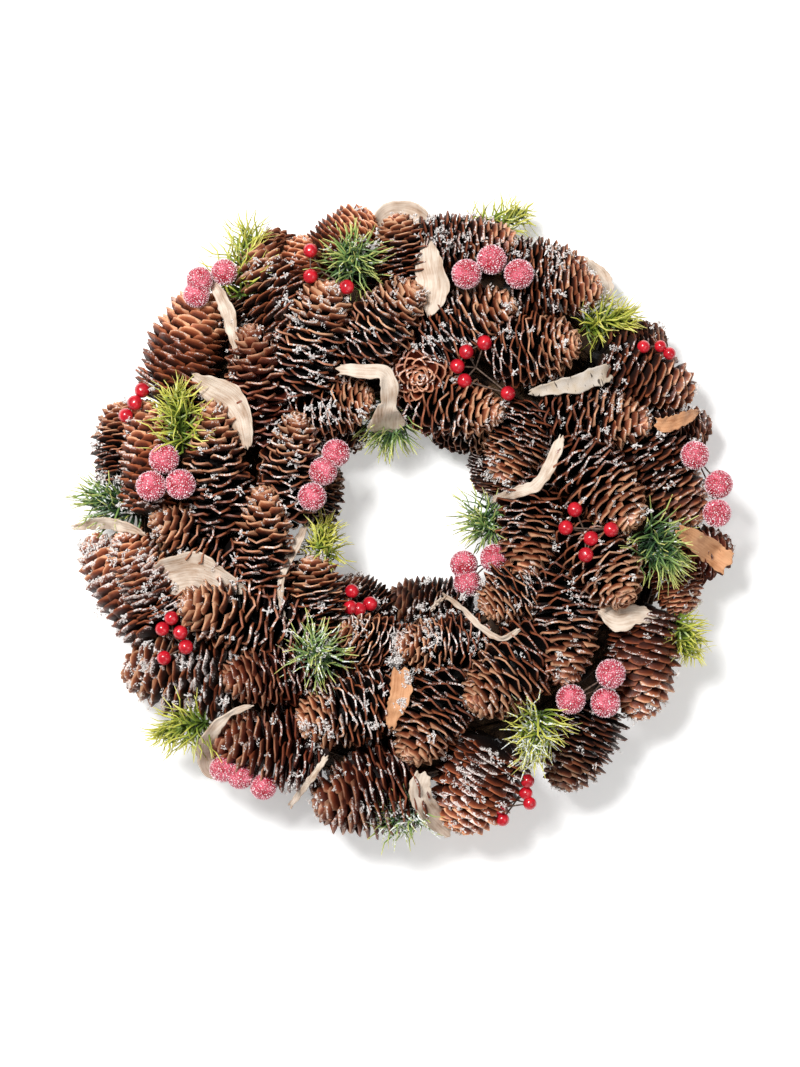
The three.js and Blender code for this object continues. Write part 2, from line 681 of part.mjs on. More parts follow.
const ring = ringSolid(0);
const ringSpace = ringSolid(CLEARANCE);
const takenByWires = [];
const cones = makeCones();
const solids = [ring];
const covers = cones.map((cone) => cone.cover);
addPiece("base_ring", ring, COLOURS.ring);

for (let hour = 1; hour <= HOURS; hour++) {
  const bunch = coneBunch(hour, cones, ringSpace, takenByWires);
  solids.push(bunch);
  addPiece(`cones_${hour}`, bunch, COLOURS.cone);
}

for (const [name, tan, lean, rows] of BARK) {
  const sheet = largestBody(clearOf(barkSheet(rows, lean, 0), covers));
  const move = seated(sheet, solids, BARK_DEEPEST).toArray();
  addPiece(`bark_${name}`, sheet.translate(move), tan ? COLOURS.tanBark : COLOURS.paleBark);
  solids.push(sheet.translate(move));
  covers.push(barkSheet(rows, lean, 2 * CLEARANCE).translate(move));
}

for (const [kind, picks, detail, colour] of [
  ["frosted_berries", FROSTED_PICKS, FROSTED_DETAIL, COLOURS.frosted],
  ["red_berries", RED_PICKS, RED_DETAIL, COLOURS.red],
]) {
  for (const [name, radius, places] of picks) {
    const centres = restingCentres(places, radius, detail, solids);
    const pick = berryPick(centres, radius, detail, 0);
    const move = seated(pick, solids, BERRY_DEEPEST).toArray();
    addPiece(`${kind}_${name}`, pick.translate(move), colour);
    solids.push(pick.translate(move));
    covers.push(berryPick(centres, radius, detail, 2 * CLEARANCE).translate(move));
  }
}

SPRIGS.forEach(([name, green, baseX, baseY, baseRise, tipX, tipY, tipRise, length], seed) => {
  const whole = needleSprig(placed(baseX, baseY, baseRise), placed(tipX, tipY, tipRise), length, seed);
  const sprig = largestBody(clearOf(whole, covers));
  const settled = sprig.translate(seated(sprig, solids, SPRIG_DEEPEST).toArray());
  addPiece(`sprig_${name}`, settled, green ? COLOURS.greenNeedle : COLOURS.yellowNeedle);
  solids.push(settled);
});

// The whole is centred over the origin.
const box = new THREE.Box3().setFromObject(group);
const middle = box.getCenter(new THREE.Vector3());
group.position.set(-middle.x, -middle.y, 0);

export default group;
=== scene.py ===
"""A pine-cone wreath with frosted berries, glossy berries, needle sprigs and birch bark, lying on its back.

Blender units are metres. The tables hold millimetres, measured to the right of and above the middle of the
ring, looking at the front from far off, with a rise over the arched crown that the cones lie on.
"""

import logging
import math
import random
from collections.abc import Callable
from dataclasses import dataclass, field
from enum import Enum

import bpy
import numpy as np
from mathutils import Matrix, Vector


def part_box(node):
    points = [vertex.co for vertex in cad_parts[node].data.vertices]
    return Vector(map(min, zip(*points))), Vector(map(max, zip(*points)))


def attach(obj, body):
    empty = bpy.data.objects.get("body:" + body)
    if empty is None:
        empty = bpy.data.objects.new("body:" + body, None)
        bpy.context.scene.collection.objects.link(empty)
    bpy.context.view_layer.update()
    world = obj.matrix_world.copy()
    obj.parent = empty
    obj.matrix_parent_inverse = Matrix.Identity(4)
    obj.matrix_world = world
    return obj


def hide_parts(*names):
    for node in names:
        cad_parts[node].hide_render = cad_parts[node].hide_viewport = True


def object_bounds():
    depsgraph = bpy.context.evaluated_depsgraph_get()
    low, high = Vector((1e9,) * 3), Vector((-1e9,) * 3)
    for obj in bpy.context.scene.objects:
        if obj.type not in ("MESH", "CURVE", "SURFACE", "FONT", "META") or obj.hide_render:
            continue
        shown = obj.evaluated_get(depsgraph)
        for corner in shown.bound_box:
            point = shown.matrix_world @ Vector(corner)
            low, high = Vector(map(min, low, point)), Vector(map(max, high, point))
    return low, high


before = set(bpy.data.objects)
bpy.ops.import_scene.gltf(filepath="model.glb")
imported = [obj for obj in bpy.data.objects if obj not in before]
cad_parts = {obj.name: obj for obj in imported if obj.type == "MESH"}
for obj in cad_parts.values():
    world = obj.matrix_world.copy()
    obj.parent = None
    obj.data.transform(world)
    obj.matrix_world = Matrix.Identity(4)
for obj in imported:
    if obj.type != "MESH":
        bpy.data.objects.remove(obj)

logging.basicConfig(level=logging.INFO, format="%(message)s")
log = logging.getLogger("wreath")

Piece = bpy.types.Object
Tree = bpy.types.NodeTree
Node = bpy.types.Node
Socket = bpy.types.NodeSocket
Span = tuple[float, float]
Curve = tuple[Span, ...]
Stops = tuple[tuple[float, str], ...]
StripRows = list[tuple[float, float, float, float]]

MM = 0.001
BODY = "root"
CAD_BOX = [list(corner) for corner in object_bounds()]
GOLDEN_ANGLE = math.radians(137.508)
HOURS = 12

# The crown: the arched bed of the cones' axes, lowest at the hole and at the outer edge.
CROWN_RADIUS = 110.0
CROWN_REACH = 60.0
CROWN_LOW = 14.0
CROWN_RISE = 33.0

# Where the front is seen from, over the middle of the cones.
SEEN_FROM = 2200.0
SEEN_HEIGHT = 41.0
SEEN_X = -1.65
SEEN_Y = -10.2

# The lowest that a cone's points may lie over the floor.
LOWEST = 0.4

FLOOR_NAME = "floor"
STRIP_MAP = "strip"
STRIP_UNIT = 100.0


class Tone(Enum):
    """How a cone differs from the plain brown ones: in brightness, in redness, and closed or not. The
    darkest tone's darkness is painted shade.
    """

    BROWN = (0.0, 0.0, False)
    RED = (-0.12, 0.8, False)
    DARK = (-0.5, 0.1, False)
    # Painted shade: the darkest tone is for low cones at the hole and cones lying behind others, standing
    # for the shade they lie in.
    TILED = (0.1, 0.1, True)
    PALE = (0.45, 0.0, True)
    ROSETTE = (0.3, 0.9, True)


class Needle(Enum):
    """The two colours of plastic needle."""

    YELLOW = "yellow_needle"
    GREEN = "green_needle"


class Bark(Enum):
    """The two colours of the inner side of the bark."""

    PALE = "pale_bark"
    TAN = "tan_bark"


B, R, D, T, P, Q = Tone.BROWN, Tone.RED, Tone.DARK, Tone.TILED, Tone.PALE, Tone.ROSETTE

# One row a cone: tip x, y, rise, base x, y, rise, width, tone and how much snow it carries.
CONES = [
    (-4, 166, 14, 3, 126, 2, 31, B, 0.3),
    (8, 127, 16, -26, 88, 2, 37, B, 0.35),
    (9, 75, 18, 10, 78, -22, 39, Q, 0.15),
    (62, 118, 8, 15, 96, 0, 38, B, 0.5),
    (63, 151, 8, 14, 150, 6, 30, B, 0.6),
    (102, 134, 6, 60, 140, 2, 28, B, 0.5),
    (110, 124, 14, 62, 124, 4, 33, B, 0.5),
    (97, 95, 16, 55, 90, 4, 38, B, 0.3),
    (55, 55, 12, 7, 64, 4, 34, B, 0.4),
    (160, 66, 10, 110, 85, 2, 37, B, 0.4),
    (144, 97, 2, 118, 91, -4, 28, D, 0.4),
    (137, 50, 14, 82, 55, 0, 34, B, 0.3),
    (169, 50, 2, 138, 44, -4, 27, D, 0.3),
    (54, 17, 12, 71, 56, 2, 36, B, 0.3),
    (52, 43, 0, 24, 49, -2, 25, D, 0.4),
    (47, 11, 0, 49, 37, -4, 25, D, 0.6),
    (129, -6, 18, 92, 32, 4, 41, B, 0.4),
    (163, -5, 6, 134, 40, 2, 35, B, 0.4),
    (66, -35, 10, 72, 14, 4, 36, B, 0.3),
    (180, -18, -1, 150, -24, -3, 31, R, 0.4),
    (123, -48, 20, 100, -10, 2, 42, B, 0.3),
    (155, -55, 2, 146, -24, 0, 30, T, 0.3),
    (44, -54, 9, 75, -31, 2, 37, B, 0.35),
    (89, -94, 10, 89, -36, 2, 38, B, 0.4),
    (129, -113, 12, 134, -58, 0, 40, T, 0.6),
    (37, -107, 12, 74, -72, 2, 42, B, 0.15),
    (86, -151, 14, 104, -108, -2, 40, D, 0.5),
    (29, -174, 14, 48, -131, 2, 48, P, 1.1),
    (2, -136, 14, 27, -91, 2, 39, B, 0.25),
    (-5, -72, 10, 41, -72, 2, 33, B, 0.7),
    (-9, -46, 0, 33, -52, -2, 31, D, 0.6),
    (-58, -116, 10, -12, -101, 2, 40, B, 0.7),
    (-50, -160, 16, 6, -146, 0, 49, R, 0.5),
    (-36, -62, 8, -4, -76, 0, 31, B, 0.6),
    (-33, -35, 0, -9, -58, -4, 27, D, 0.3),
    (-106, -125, 11, -49, -129, 0, 45, R, 0.3),
    (-100, -92, 10, -54, -83, 2, 37, R, 0.25),
    (-154, -84, 8, -97, -91, 0, 46, B, 1.4),
    (-124, -48, 14, -62, -62, 2, 40, B, 0.45),
    (-51, -22, 12, -46, -64, 2, 36, B, 0.5),
    (-173, -12, 2, -139, -58, 2, 37, P, 1.4),
    (-155, -8, 8, -134, -50, 6, 34, P, 1.3),
    (-139, 0, 8, -90, -26, -2, 34, B, 0.3),
    (-77, 16, 12, -76, -44, 2, 34, B, 0.35),
    (-38, 27, 0, -50, -2, -2, 25, D, 0.3),
    (-157, 62, 2, -155, 22, 2, 29, B, 0.3),
    (-142, 64, 4, -140, 8, 6, 31, P, 0.7),
    (-105, 63, 12, -101, -2, 2, 36, B, 0.25),
    (-109, 125, 8, -127, 69, 2, 42, P, 0.3),
    (-58, 56, 14, -65, 4, 4, 34, B, 0.4),
    (-85, 147, 13, -56, 102, 3, 41, B, 0.3),
    (-84, 105, 14, -77, 46, 0, 35, R, 0.15),
    (-74, 155, 2, -63, 133, -4, 27, B, 0.1),
    (-99, 124, -4, -84, 98, -6, 26, D, 0.2),
    (-54, 154, 4, -56, 120, 0, 32, P, 0.1),
    (-40, 129, 14, -54, 74, 4, 43, B, 0.55),
    (-16, 65, 10, -56, 57, 0, 35, B, 0.55),
    (-21, 41, 0, -43, 48, -2, 24, D, 0.3),
    (-18, 167, 6, -41, 142, 4, 32, P, 0.2),
]

# One row a pick: clock hour, berry radius, the places of its berries, and how much higher than its CAD piece
# it stands on its wires.
FROSTED_PICKS = [
    ("10", 7.2, [(-112, 129), (-114, 122), (-99, 134)], 0),
    ("1", 8.1, [(35, 133), (49, 141), (64, 133)], 0),
    ("3", 7.8, [(161, 33), (174, 17), (173, 1)], 0),
    ("4", 8.1, [(93, -102), (115, -88), (112, -104)], 0),
    ("7", 7.3, [(-99, -140), (-90, -144), (-77, -150)], 0),
    ("9", 8.2, [(-132, 31), (-139, 16), (-123, 17)], 0),
    ("hole_9", 7.7, [(-37, 34), (-44, 24), (-50, 10)], 0),
    ("hole_4", 7.8, [(31, -26), (33, -34), (48, -22)], 11),
]

RED_PICKS = [
    ("10", 4.2, [(-144, 69), (-148, 62), (-153, 55)], 0),
    ("11", 4.1, [(-51, 146), (-51, 132), (-31, 126)], 0),
    ("1", 4.1, [(45, 95), (35, 90), (30, 82), (34, 74), (58, 67)], 0),
    ("2", 3.5, [(133, 93), (142, 93), (147, 89)], 0),
    ("3", 4.2, [(95, 3), (90, -7), (115, -8), (104, -13), (101, -22)], 0),
    ("5", 3.8, [(69, -147), (68, -154), (70, -159), (53, -162), (55, -168)], 0),
    ("8", 4.1, [(-128, -57), (-133, -63), (-123, -65), (-120, -73), (-132, -79)], 0),
    ("7", 4.0, [(-28, -42), (-29, -51), (-24, -52), (-18, -49)], 0),
]

# One row a sprig: clock hour, colour, base x, y, rise, tip x, y, rise, needle length, how much snow it
# carries and how much higher than its CAD piece it stands.
SPRIGS = [
    ("11", Needle.YELLOW, -90, 119, 12, -86, 151, 30, 22, 0.05, 9),
    ("10", Needle.YELLOW, -121, 36, 12, -124, 62, 26, 20, 0.05, 3),
    ("12", Needle.GREEN, -28, 139, 14, -28, 143, 34, 22, 0.1, 0),
    ("1", Needle.YELLOW, 36, 155, 10, 63, 165, 22, 16, 0.1, 0),
    ("2", Needle.YELLOW, 100, 105, 12, 118, 108, 24, 19, 0.0, 0),
    ("3", Needle.GREEN, 133, -10, 16, 144, -22, 34, 24, 0.1, 0),
    ("4", Needle.YELLOW, 149, -58, 18, 158, -71, 32, 15, 0.0, 0),
    ("5", Needle.YELLOW, 76, -108, 14, 71, -128, 28, 18, 0.35, 0),
    ("8", Needle.YELLOW, -107, -113, 10, -127, -119, 22, 19, 0.05, -6),
    ("9", Needle.GREEN, -147, 1, 10, -165, 8, 26, 24, 0.2, 0),
    ("hole_9", Needle.YELLOW, -45, -25, 22, -43, -11, 36, 14, 0.0, 0),
    ("7", Needle.GREEN, -48, -79, 14, -48, -75, 34, 20, 0.25, 0),
    ("hole_3", Needle.GREEN, 50, -2, 12, 47, -5, 30, 22, 0.1, 0),
    ("hole_12", Needle.GREEN, -5, 60, -2, -8, 50, 12, 24, 0.15, -8),
    ("6", Needle.GREEN, 9, -160, 8, -6, -168, 24, 16, 0.4, 0),
]

# One row a piece of bark: name, colour, lean of its width in degrees, how much deeper than its CAD piece it
# lies, and points of x, y, rise and width.
BARK = [
    ("10", Bark.PALE, 30, 0, [
        (-105, 129, 26, 3), (-100, 120, 24, 9), (-96, 110, 22, 9), (-93, 98, 20, 6), (-91, 87, 18, 3),
    ]),
    ("collar", Bark.PALE, 22, 3, [
        (-116, 76, 20, 4), (-108, 71, 22, 14), (-97, 65, 22, 19), (-90, 57, 22, 16), (-87, 46, 22, 11),
        (-86, 37, 20, 3),
    ]),
    ("arch", Bark.PALE, 20, 9, [
        (-15, 157, 18, 8), (-9, 166, 22, 14), (1, 168, 24, 15), (10, 164, 24, 14), (16, 156, 22, 10),
        (19, 145, 18, 4),
    ]),
    ("leaf", Bark.PALE, 25, 5, [
        (13, 155, 22, 1), (14, 147, 24, 10), (15, 138, 24, 17), (17, 128, 24, 22), (16, 118, 22, 15),
        (14, 110, 20, 2),
    ]),
    ("bracket", Bark.PALE, -10, -2, [
        (-36, 80, 22, 6), (-21, 79, 24, 8), (-11, 78, 24, 9), (-8, 71, 24, 10), (-8, 62, 24, 9),
        (-9, 57, 24, 13), (-9, 51, 22, 23), (-9, 46, 20, 9),
    ]),
    ("2", Bark.PALE, 15, 0, [
        (70, 67, 14, 3), (82, 70, 18, 8), (97, 73, 20, 11), (108, 77, 20, 12), (114, 79, 18, 8),
    ]),
    ("tan_2", Bark.TAN, 5, 0, [(139, 50, 20, 7), (146, 50, 20, 9), (155, 53, 20, 7), (162, 57, 18, 3)]),
    ("tan_3", Bark.TAN, 5, -5, [
        (151, -8, 20, 6), (160, -14, 20, 12), (170, -21, 20, 14), (179, -27, 20, 13),
    ]),
    ("4", Bark.PALE, -15, 3, [
        (108, -52, 18, 4), (118, -57, 20, 16), (128, -55, 20, 12), (137, -56, 20, 7), (146, -58, 18, 2),
    ]),
    ("tan_6", Bark.TAN, 5, 0, [
        (-1, -85, 22, 10), (-1, -94, 24, 12), (-2, -102, 24, 13), (-5, -109, 22, 9), (-7, -117, 20, 4),
    ]),
    ("6", Bark.PALE, -15, -7, [
        (11, -142, 20, 8), (9, -151, 22, 13), (12, -160, 22, 14), (19, -168, 22, 13), (26, -175, 18, 7),
    ]),
    ("curl", Bark.PALE, -30, -4, [
        (-83, -105, 16, 2), (-93, -108, 18, 4), (-101, -114, 20, 6), (-107, -122, 22, 10),
        (-109, -131, 22, 11), (-108, -139, 20, 9), (-101, -145, 16, 3),
    ]),
    ("wedge", Bark.PALE, 20, 5, [
        (-139, -36, 14, 7), (-128, -33, 16, 25), (-114, -31, 16, 24), (-101, -36, 16, 15),
        (-86, -42, 14, 3),
    ]),
    ("9", Bark.PALE, 30, 2, [
        (-182, -7, 16, 3), (-171, -5, 20, 7), (-160, -5, 20, 8), (-150, -7, 20, 6), (-142, -11, 16, 2),
    ]),
    ("hole_9", Bark.PALE, 30, 0, [
        (-53, -5, 16, 3), (-58, -15, 18, 6), (-64, -26, 18, 6), (-67, -38, 18, 4), (-67, -50, 16, 3),
        (-65, -58, 14, 2),
    ]),
    ("hole_2", Bark.PALE, 15, 0, [
        (87, 43, 18, 3), (84, 35, 20, 7), (80, 25, 22, 7), (73, 16, 22, 7), (62, 12, 22, 7), (49, 8, 20, 3),
    ]),
]

# Slivers of bark too thin for a CAD piece: name, lean, and points of x, y, rise and width.
SLIVERS = [
    ("7", 30, [(-42, -133, 22, 3), (-52, -147, 22, 4), (-62, -160, 18, 3)]),
    ("6", 40, [(16, -52, 18, 2), (19, -48, 22, 3), (24, -45, 22, 2)]),
    ("5", 20, [(21, -43, 20, 2), (32, -51, 24, 3), (42, -61, 22, 4), (54, -68, 20, 3), (64, -63, 16, 2)]),
    ("2", -30, [(100, 140, 6, 4), (108, 134, 6, 8), (112, 126, 6, 8), (112, 117, 4, 3)]),
]

# Tufts of snow thicker than the dusting: x, y, spread and how many clumps.
TUFTS = [
    (-4, -80, 1.8, 60),
    (3, -90, 1.5, 16),
    (0, -104, 1.5, 10),
    (-62, -49, 3, 6),
    (-52, -127, 4, 8),
    (-35, -143, 4, 7),
    (20, -74, 6, 14),
    (13, -63, 4, 7),
    (39, -72, 5, 7),
    (66, -49, 5, 9),
    (-2, -169, 6, 14),
    (-46, -74, 4, 8),
    (31, -146, 6, 9),
    (28, -166, 6, 9),
    (110, 57, 5, 8),
    (116, 68, 4, 6),
    (152, 27, 5, 6),
    (66, 40, 5, 8),
    (50, 27, 5, 7),
    (161, -47, 4, 5),
    (-52, 113, 5, 10),
    (-85, 138, 3, 5),
    (-5, 128, 5, 10),
    (-20, 149, 4, 6),
    (-49, 87, 5, 7),
    (-86, 102, 5, 6),
    (22, 158, 6, 10),
]


def ring_middle() -> Vector:
    """The middle of the base ring on the floor, in metres."""
    low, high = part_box("base_ring")
    return Vector(((low[0] + high[0]) / 2, (low[1] + high[1]) / 2, 0.0))


MIDDLE = ring_middle()


def crown_height(x: float, y: float) -> float:
    """Height of the crown over the back, in mm, at a place in mm on the front."""
    across = (math.hypot(x, y) - CROWN_RADIUS) / CROWN_REACH
    return CROWN_LOW + CROWN_RISE * math.sqrt(max(0.0, 1.0 - across * across))


def placed(x: float, y: float, rise: float) -> Vector:
    """The point at a rise over the crown that shows at a place on the front.

    Args:
        x: Millimetres to the right of the ring's middle.
        y: Millimetres above the ring's middle.
        rise: Millimetres over the crown there.

    Returns:
        The point in metres.
    """
    z = crown_height(x, y) + rise
    shrink = (SEEN_FROM - (z - SEEN_HEIGHT)) / SEEN_FROM
    flat = Vector((SEEN_X + (x - SEEN_X) * shrink, SEEN_Y + (y - SEEN_Y) * shrink, z))
    return flat * MM + MIDDLE


def linear(code: str) -> tuple[float, float, float, float]:
    """Turns an sRGB hex colour such as "#b07a52" to linear red, green, blue and alpha."""
    shares = [int(code[start : start + 2], 16) / 255 for start in (1, 3, 5)]
    return (*(s / 12.92 if s <= 0.04045 else ((s + 0.055) / 1.055) ** 2.4 for s in shares), 1.0)


def curve_at(curve: Curve, place: float) -> float:
    """The height of a curve at a place between its points."""
    return float(np.interp(place, *zip(*curve)))


def pick(*pieces: Piece) -> None:
    """Selects these pieces alone, or none, and makes the first one active.

    Args:
        pieces: The pieces.
    """
    bpy.ops.object.select_all(action="DESELECT")
    for piece in pieces:
        piece.select_set(True)
    bpy.context.view_layer.objects.active = pieces[0] if pieces else None


def added(operator: Callable[..., set[str]], **sizes: object) -> Piece:
    """Adds a primitive with nothing else selected.

    Args:
        operator: The operator that adds it.
        sizes: The operator's settings.

    Returns:
        The new piece.
    """
    pick()
    operator(**sizes)
    return bpy.context.view_layer.objects.active


def cut_column(sides: int, cuts: tuple[float, ...]) -> Piece:
    """A closed column of radius and height one, standing on the origin, with rings of points to bend it at.

    Args:
        sides: How many sides it has.
        cuts: The heights of the rings.

    Returns:
        The column.
    """
    operator = bpy.ops.mesh.primitive_cylinder_add
    column = added(operator, vertices=sides, radius=1.0, depth=1.0, location=(0, 0, 0.5))
    bpy.ops.object.transform_apply(location=True)
    bpy.ops.object.mode_set(mode="EDIT")
    for height in cuts:
        bpy.ops.mesh.select_all(action="SELECT")
        bpy.ops.mesh.bisect(plane_co=(0, 0, height), plane_no=(0, 0, 1))
    bpy.ops.object.mode_set(mode="OBJECT")
    return column


def join(pieces: list[Piece], name: str) -> Piece:
    """Joins pieces into one.

    Args:
        pieces: The pieces, each with its place in its mesh.
        name: The joined piece's name.

    Returns:
        The joined piece.
    """
    pick(*pieces)
    bpy.ops.object.join()
    joined = bpy.context.view_layer.objects.active
    joined.name = name
    return joined


def copied(model: Piece, place: Matrix) -> Piece:
    """Copies a model with a mesh of its own, and moves the mesh to a place.

    Args:
        model: The model.
        place: Where the copy goes.

    Returns:
        The copy.
    """
    twin = model.copy()
    twin.data = model.data.copy()
    bpy.context.scene.collection.objects.link(twin)
    twin.data.transform(place)
    return twin


def remove(models: list[Piece]) -> None:
    """Deletes models that were only copied from.

    Args:
        models: The models.
    """
    for model in models:
        mesh = model.data
        bpy.data.objects.remove(model)
        bpy.data.meshes.remove(mesh)


def points_of(piece: Piece, what: str = "co") -> np.ndarray:
    """Reads a piece's points.

    Args:
        piece: The piece.
        what: Either "co" for the places or "normal" for the normals.

    Returns:
        One row of x, y, z a point.
    """
    found = np.empty(len(piece.data.vertices) * 3)
    piece.data.vertices.foreach_get(what, found)
    return found.reshape(-1, 3)


def move_points(piece: Piece, points: np.ndarray) -> None:
    """Gives the piece's points new places."""
    piece.data.vertices.foreach_set("co", points.ravel())
    piece.data.update()


def keep_above(piece: Piece, lowest: float) -> None:
    """Raises the points that lie lower than a height in metres to that height.

    Args:
        piece: The piece.
        lowest: The height.
    """
    points = points_of(piece)
    points[:, 2] = np.maximum(points[:, 2], lowest)
    move_points(piece, points)


def set_values(piece: Piece, name: str, values: np.ndarray | float) -> None:
    """Stores a number for each point of a piece, for its material to read.

    Args:
        piece: The piece.
        name: The attribute's name.
        values: One number a point, or one for all.
    """
    held = piece.data.attributes.get(name) or piece.data.attributes.new(name, "FLOAT", "POINT")
    count = len(piece.data.vertices)
    held.data.foreach_set("value", np.broadcast_to(np.asarray(values, dtype=np.float32), (count,)).copy())


def get_values(piece: Piece, name: str) -> np.ndarray:
    """Reads the numbers stored under a name.

    Args:
        piece: The piece.
        name: The attribute's name.

    Returns:
        One number a point.
    """
    values = np.empty(len(piece.data.vertices), dtype=np.float32)
    piece.data.attributes[name].data.foreach_get("value", values)
    return values


def thicken(piece: Piece, wall: float, rounded: bool = False) -> None:
    """Gives a sheet a wall, with the second material on its other side if it is rounded too.

    Args:
        piece: The sheet.
        wall: How thick it gets.
        rounded: Whether its edges are rounded as well.
    """
    solid = piece.modifiers.new("wall", "SOLIDIFY")
    solid.thickness = wall
    solid.offset = 0.0
    if rounded:
        solid.material_offset = 1
        rounding = piece.modifiers.new("rounding", "SUBSURF")
        rounding.levels = 1
        rounding.render_levels = 1
    pick(piece)
    for modifier in list(piece.modifiers):
        bpy.ops.object.modifier_apply(modifier=modifier.name)


def smooth(piece: Piece, degrees: float = 60) -> None:
    """Shades a piece smooth where its faces meet at less than an angle."""
    pick(piece)
    bpy.ops.object.shade_smooth_by_angle(angle=math.radians(degrees))


def stand_along(start: Vector, end: Vector, roll: float, scale: Vector) -> Matrix:
    """The matrix that takes a model standing on +Z to a start, pointing at an end.

    Args:
        start: Where the model's origin goes.
        end: What its +Z points at.
        roll: Turn about its own axis, in radians.
        scale: The model's scale along its own axes.

    Returns:
        The matrix.
    """
    turn = (end - start).to_track_quat("Z", "Y").to_matrix().to_4x4()
    return Matrix.Translation(start) @ turn @ Matrix.Rotation(roll, 4, "Z") @ Matrix.Diagonal((*scale, 1.0))


def tubes(paths: list[list[Vector]], radii: list[float]) -> Piece:
    """Makes six-sided strands along smooth paths.

    Args:
        paths: The points that each strand follows.
        radii: Each strand's radius in metres.

    Returns:
        The strands as one mesh.
    """
    curve = bpy.data.curves.new("strand", "CURVE")
    curve.dimensions = "3D"
    curve.bevel_mode = "ROUND"
    curve.bevel_depth = 1.0
    curve.bevel_resolution = 1
    curve.resolution_u = 2
    curve.use_fill_caps = True
    for path, radius in zip(paths, radii):
        spline = curve.splines.new("NURBS")
        spline.points.add(len(path) - 1)
        spline.use_endpoint_u = True
        spline.order_u = min(4, len(path))
        for point, place in zip(spline.points, path):
            point.co = (*place, 1.0)
            point.radius = radius
    strand = bpy.data.objects.new("strand", curve)
    bpy.context.scene.collection.objects.link(strand)
    pick(strand)
    bpy.ops.object.convert(target="MESH")
    return bpy.context.view_layer.objects.active


def add_node(
    tree: Tree,
    kind: str,
    settings: dict[str | int, object] | None = None,
    links: dict[str | int, Socket] | None = None,
) -> Node:
    """Adds a node with its settings and links.

    Args:
        tree: The node tree.
        kind: The node's type, without the words ShaderNode before it.
        settings: Values of its inputs, by name or number, or of the node itself. Under "stops" are a colour
            ramp's places from 0 to 1 and their sRGB hex colours.
        links: What feeds each input, by name or number.

    Returns:
        The node.
    """
    node = tree.nodes.new("ShaderNode" + kind)
    for name, value in (settings or {}).items():
        if name == "stops":
            elements = node.color_ramp.elements
            while len(elements) < len(value):
                elements.new(0.5)
            for element, (place, code) in zip(elements, value):
                element.position = place
                element.color = linear(code)
        elif isinstance(name, int) or name in node.inputs:
            node.inputs[name].default_value = value
        else:
            setattr(node, name, value)
    for name, socket in (links or {}).items():
        tree.links.new(socket, node.inputs[name])
    return node


def pattern(tree: Tree, kind: str, size: float, **more: float) -> Node:
    """A pattern on Object coordinates whose marks have a real size.

    Args:
        tree: The node tree.
        kind: The texture node's type.
        size: The marks' size in millimetres.
        more: The texture's other settings.

    Returns:
        The texture node.
    """
    places = add_node(tree, "TexCoord")
    settings = {"Scale": 1.0 / (size * MM), **more}
    return add_node(tree, kind, settings, {"Vector": places.outputs["Object"]})


def covered(tree: Tree, under: Socket, amount: Socket, edges: Span, code: str) -> Socket:
    """Lays a second colour over the first where an amount is high.

    Args:
        tree: The node tree.
        under: The first colour.
        amount: The amount.
        edges: The amounts at which the second colour starts and is full.
        code: The second colour, in sRGB hex.

    Returns:
        The mixed colour.
    """
    share = add_node(tree, "MapRange", {"From Min": edges[0], "From Max": edges[1]}, {"Value": amount})
    settings = {"data_type": "RGBA", 7: linear(code)}
    return add_node(tree, "Mix", settings, {0: share.outputs[0], 6: under}).outputs[2]


@dataclass(frozen=True)
class Finish:
    """What all finishes share: a name, and a Principled shader set by the values of the real material.

    The relief is the share of it that shows, from 0 to 1, and its depth is in mm.
    """

    name: str
    roughness: float = 0.6
    ior: float = 1.5
    coat: float = 0.0
    relief: float = 0.0
    depth: float = 0.5

    def link(self, tree: Tree, shader: Node, colour: Socket, height: Socket | None = None) -> None:
        """Feeds the shader its colour, and its relief where the finish has one.

        Args:
            tree: The node tree.
            shader: The shader.
            colour: The colour.
            height: The relief's height.
        """
        tree.links.new(colour, shader.inputs["Base Color"])
        if self.relief:
            settings = {"Strength": self.relief, "Distance": self.depth * MM}
            bump = add_node(tree, "Bump", settings, {"Height": height})
            tree.links.new(bump.outputs["Normal"], shader.inputs["Normal"])

    def paint(self, tree: Tree, shader: Node) -> None:
        """Draws the finish's patterns and links them to the shader."""
        raise NotImplementedError

    def build(self) -> bpy.types.Material:
        """The finish as a material, made once.

        Returns:
            The material.
        """
        made = bpy.data.materials.get(self.name)
        if made:
            return made
        material = bpy.data.materials.new(self.name)
        material.use_nodes = True
        shader = next(node for node in material.node_tree.nodes if node.type == "BSDF_PRINCIPLED")
        for name, value in (("Roughness", self.roughness), ("IOR", self.ior), ("Coat Weight", self.coat)):
            shader.inputs[name].default_value = value
        self.paint(material.node_tree, shader)
        return material

    def dress(self, piece: Piece) -> None:
        """Gives a piece this finish alone."""
        piece.data.materials.clear()
        piece.data.materials.append(self.build())


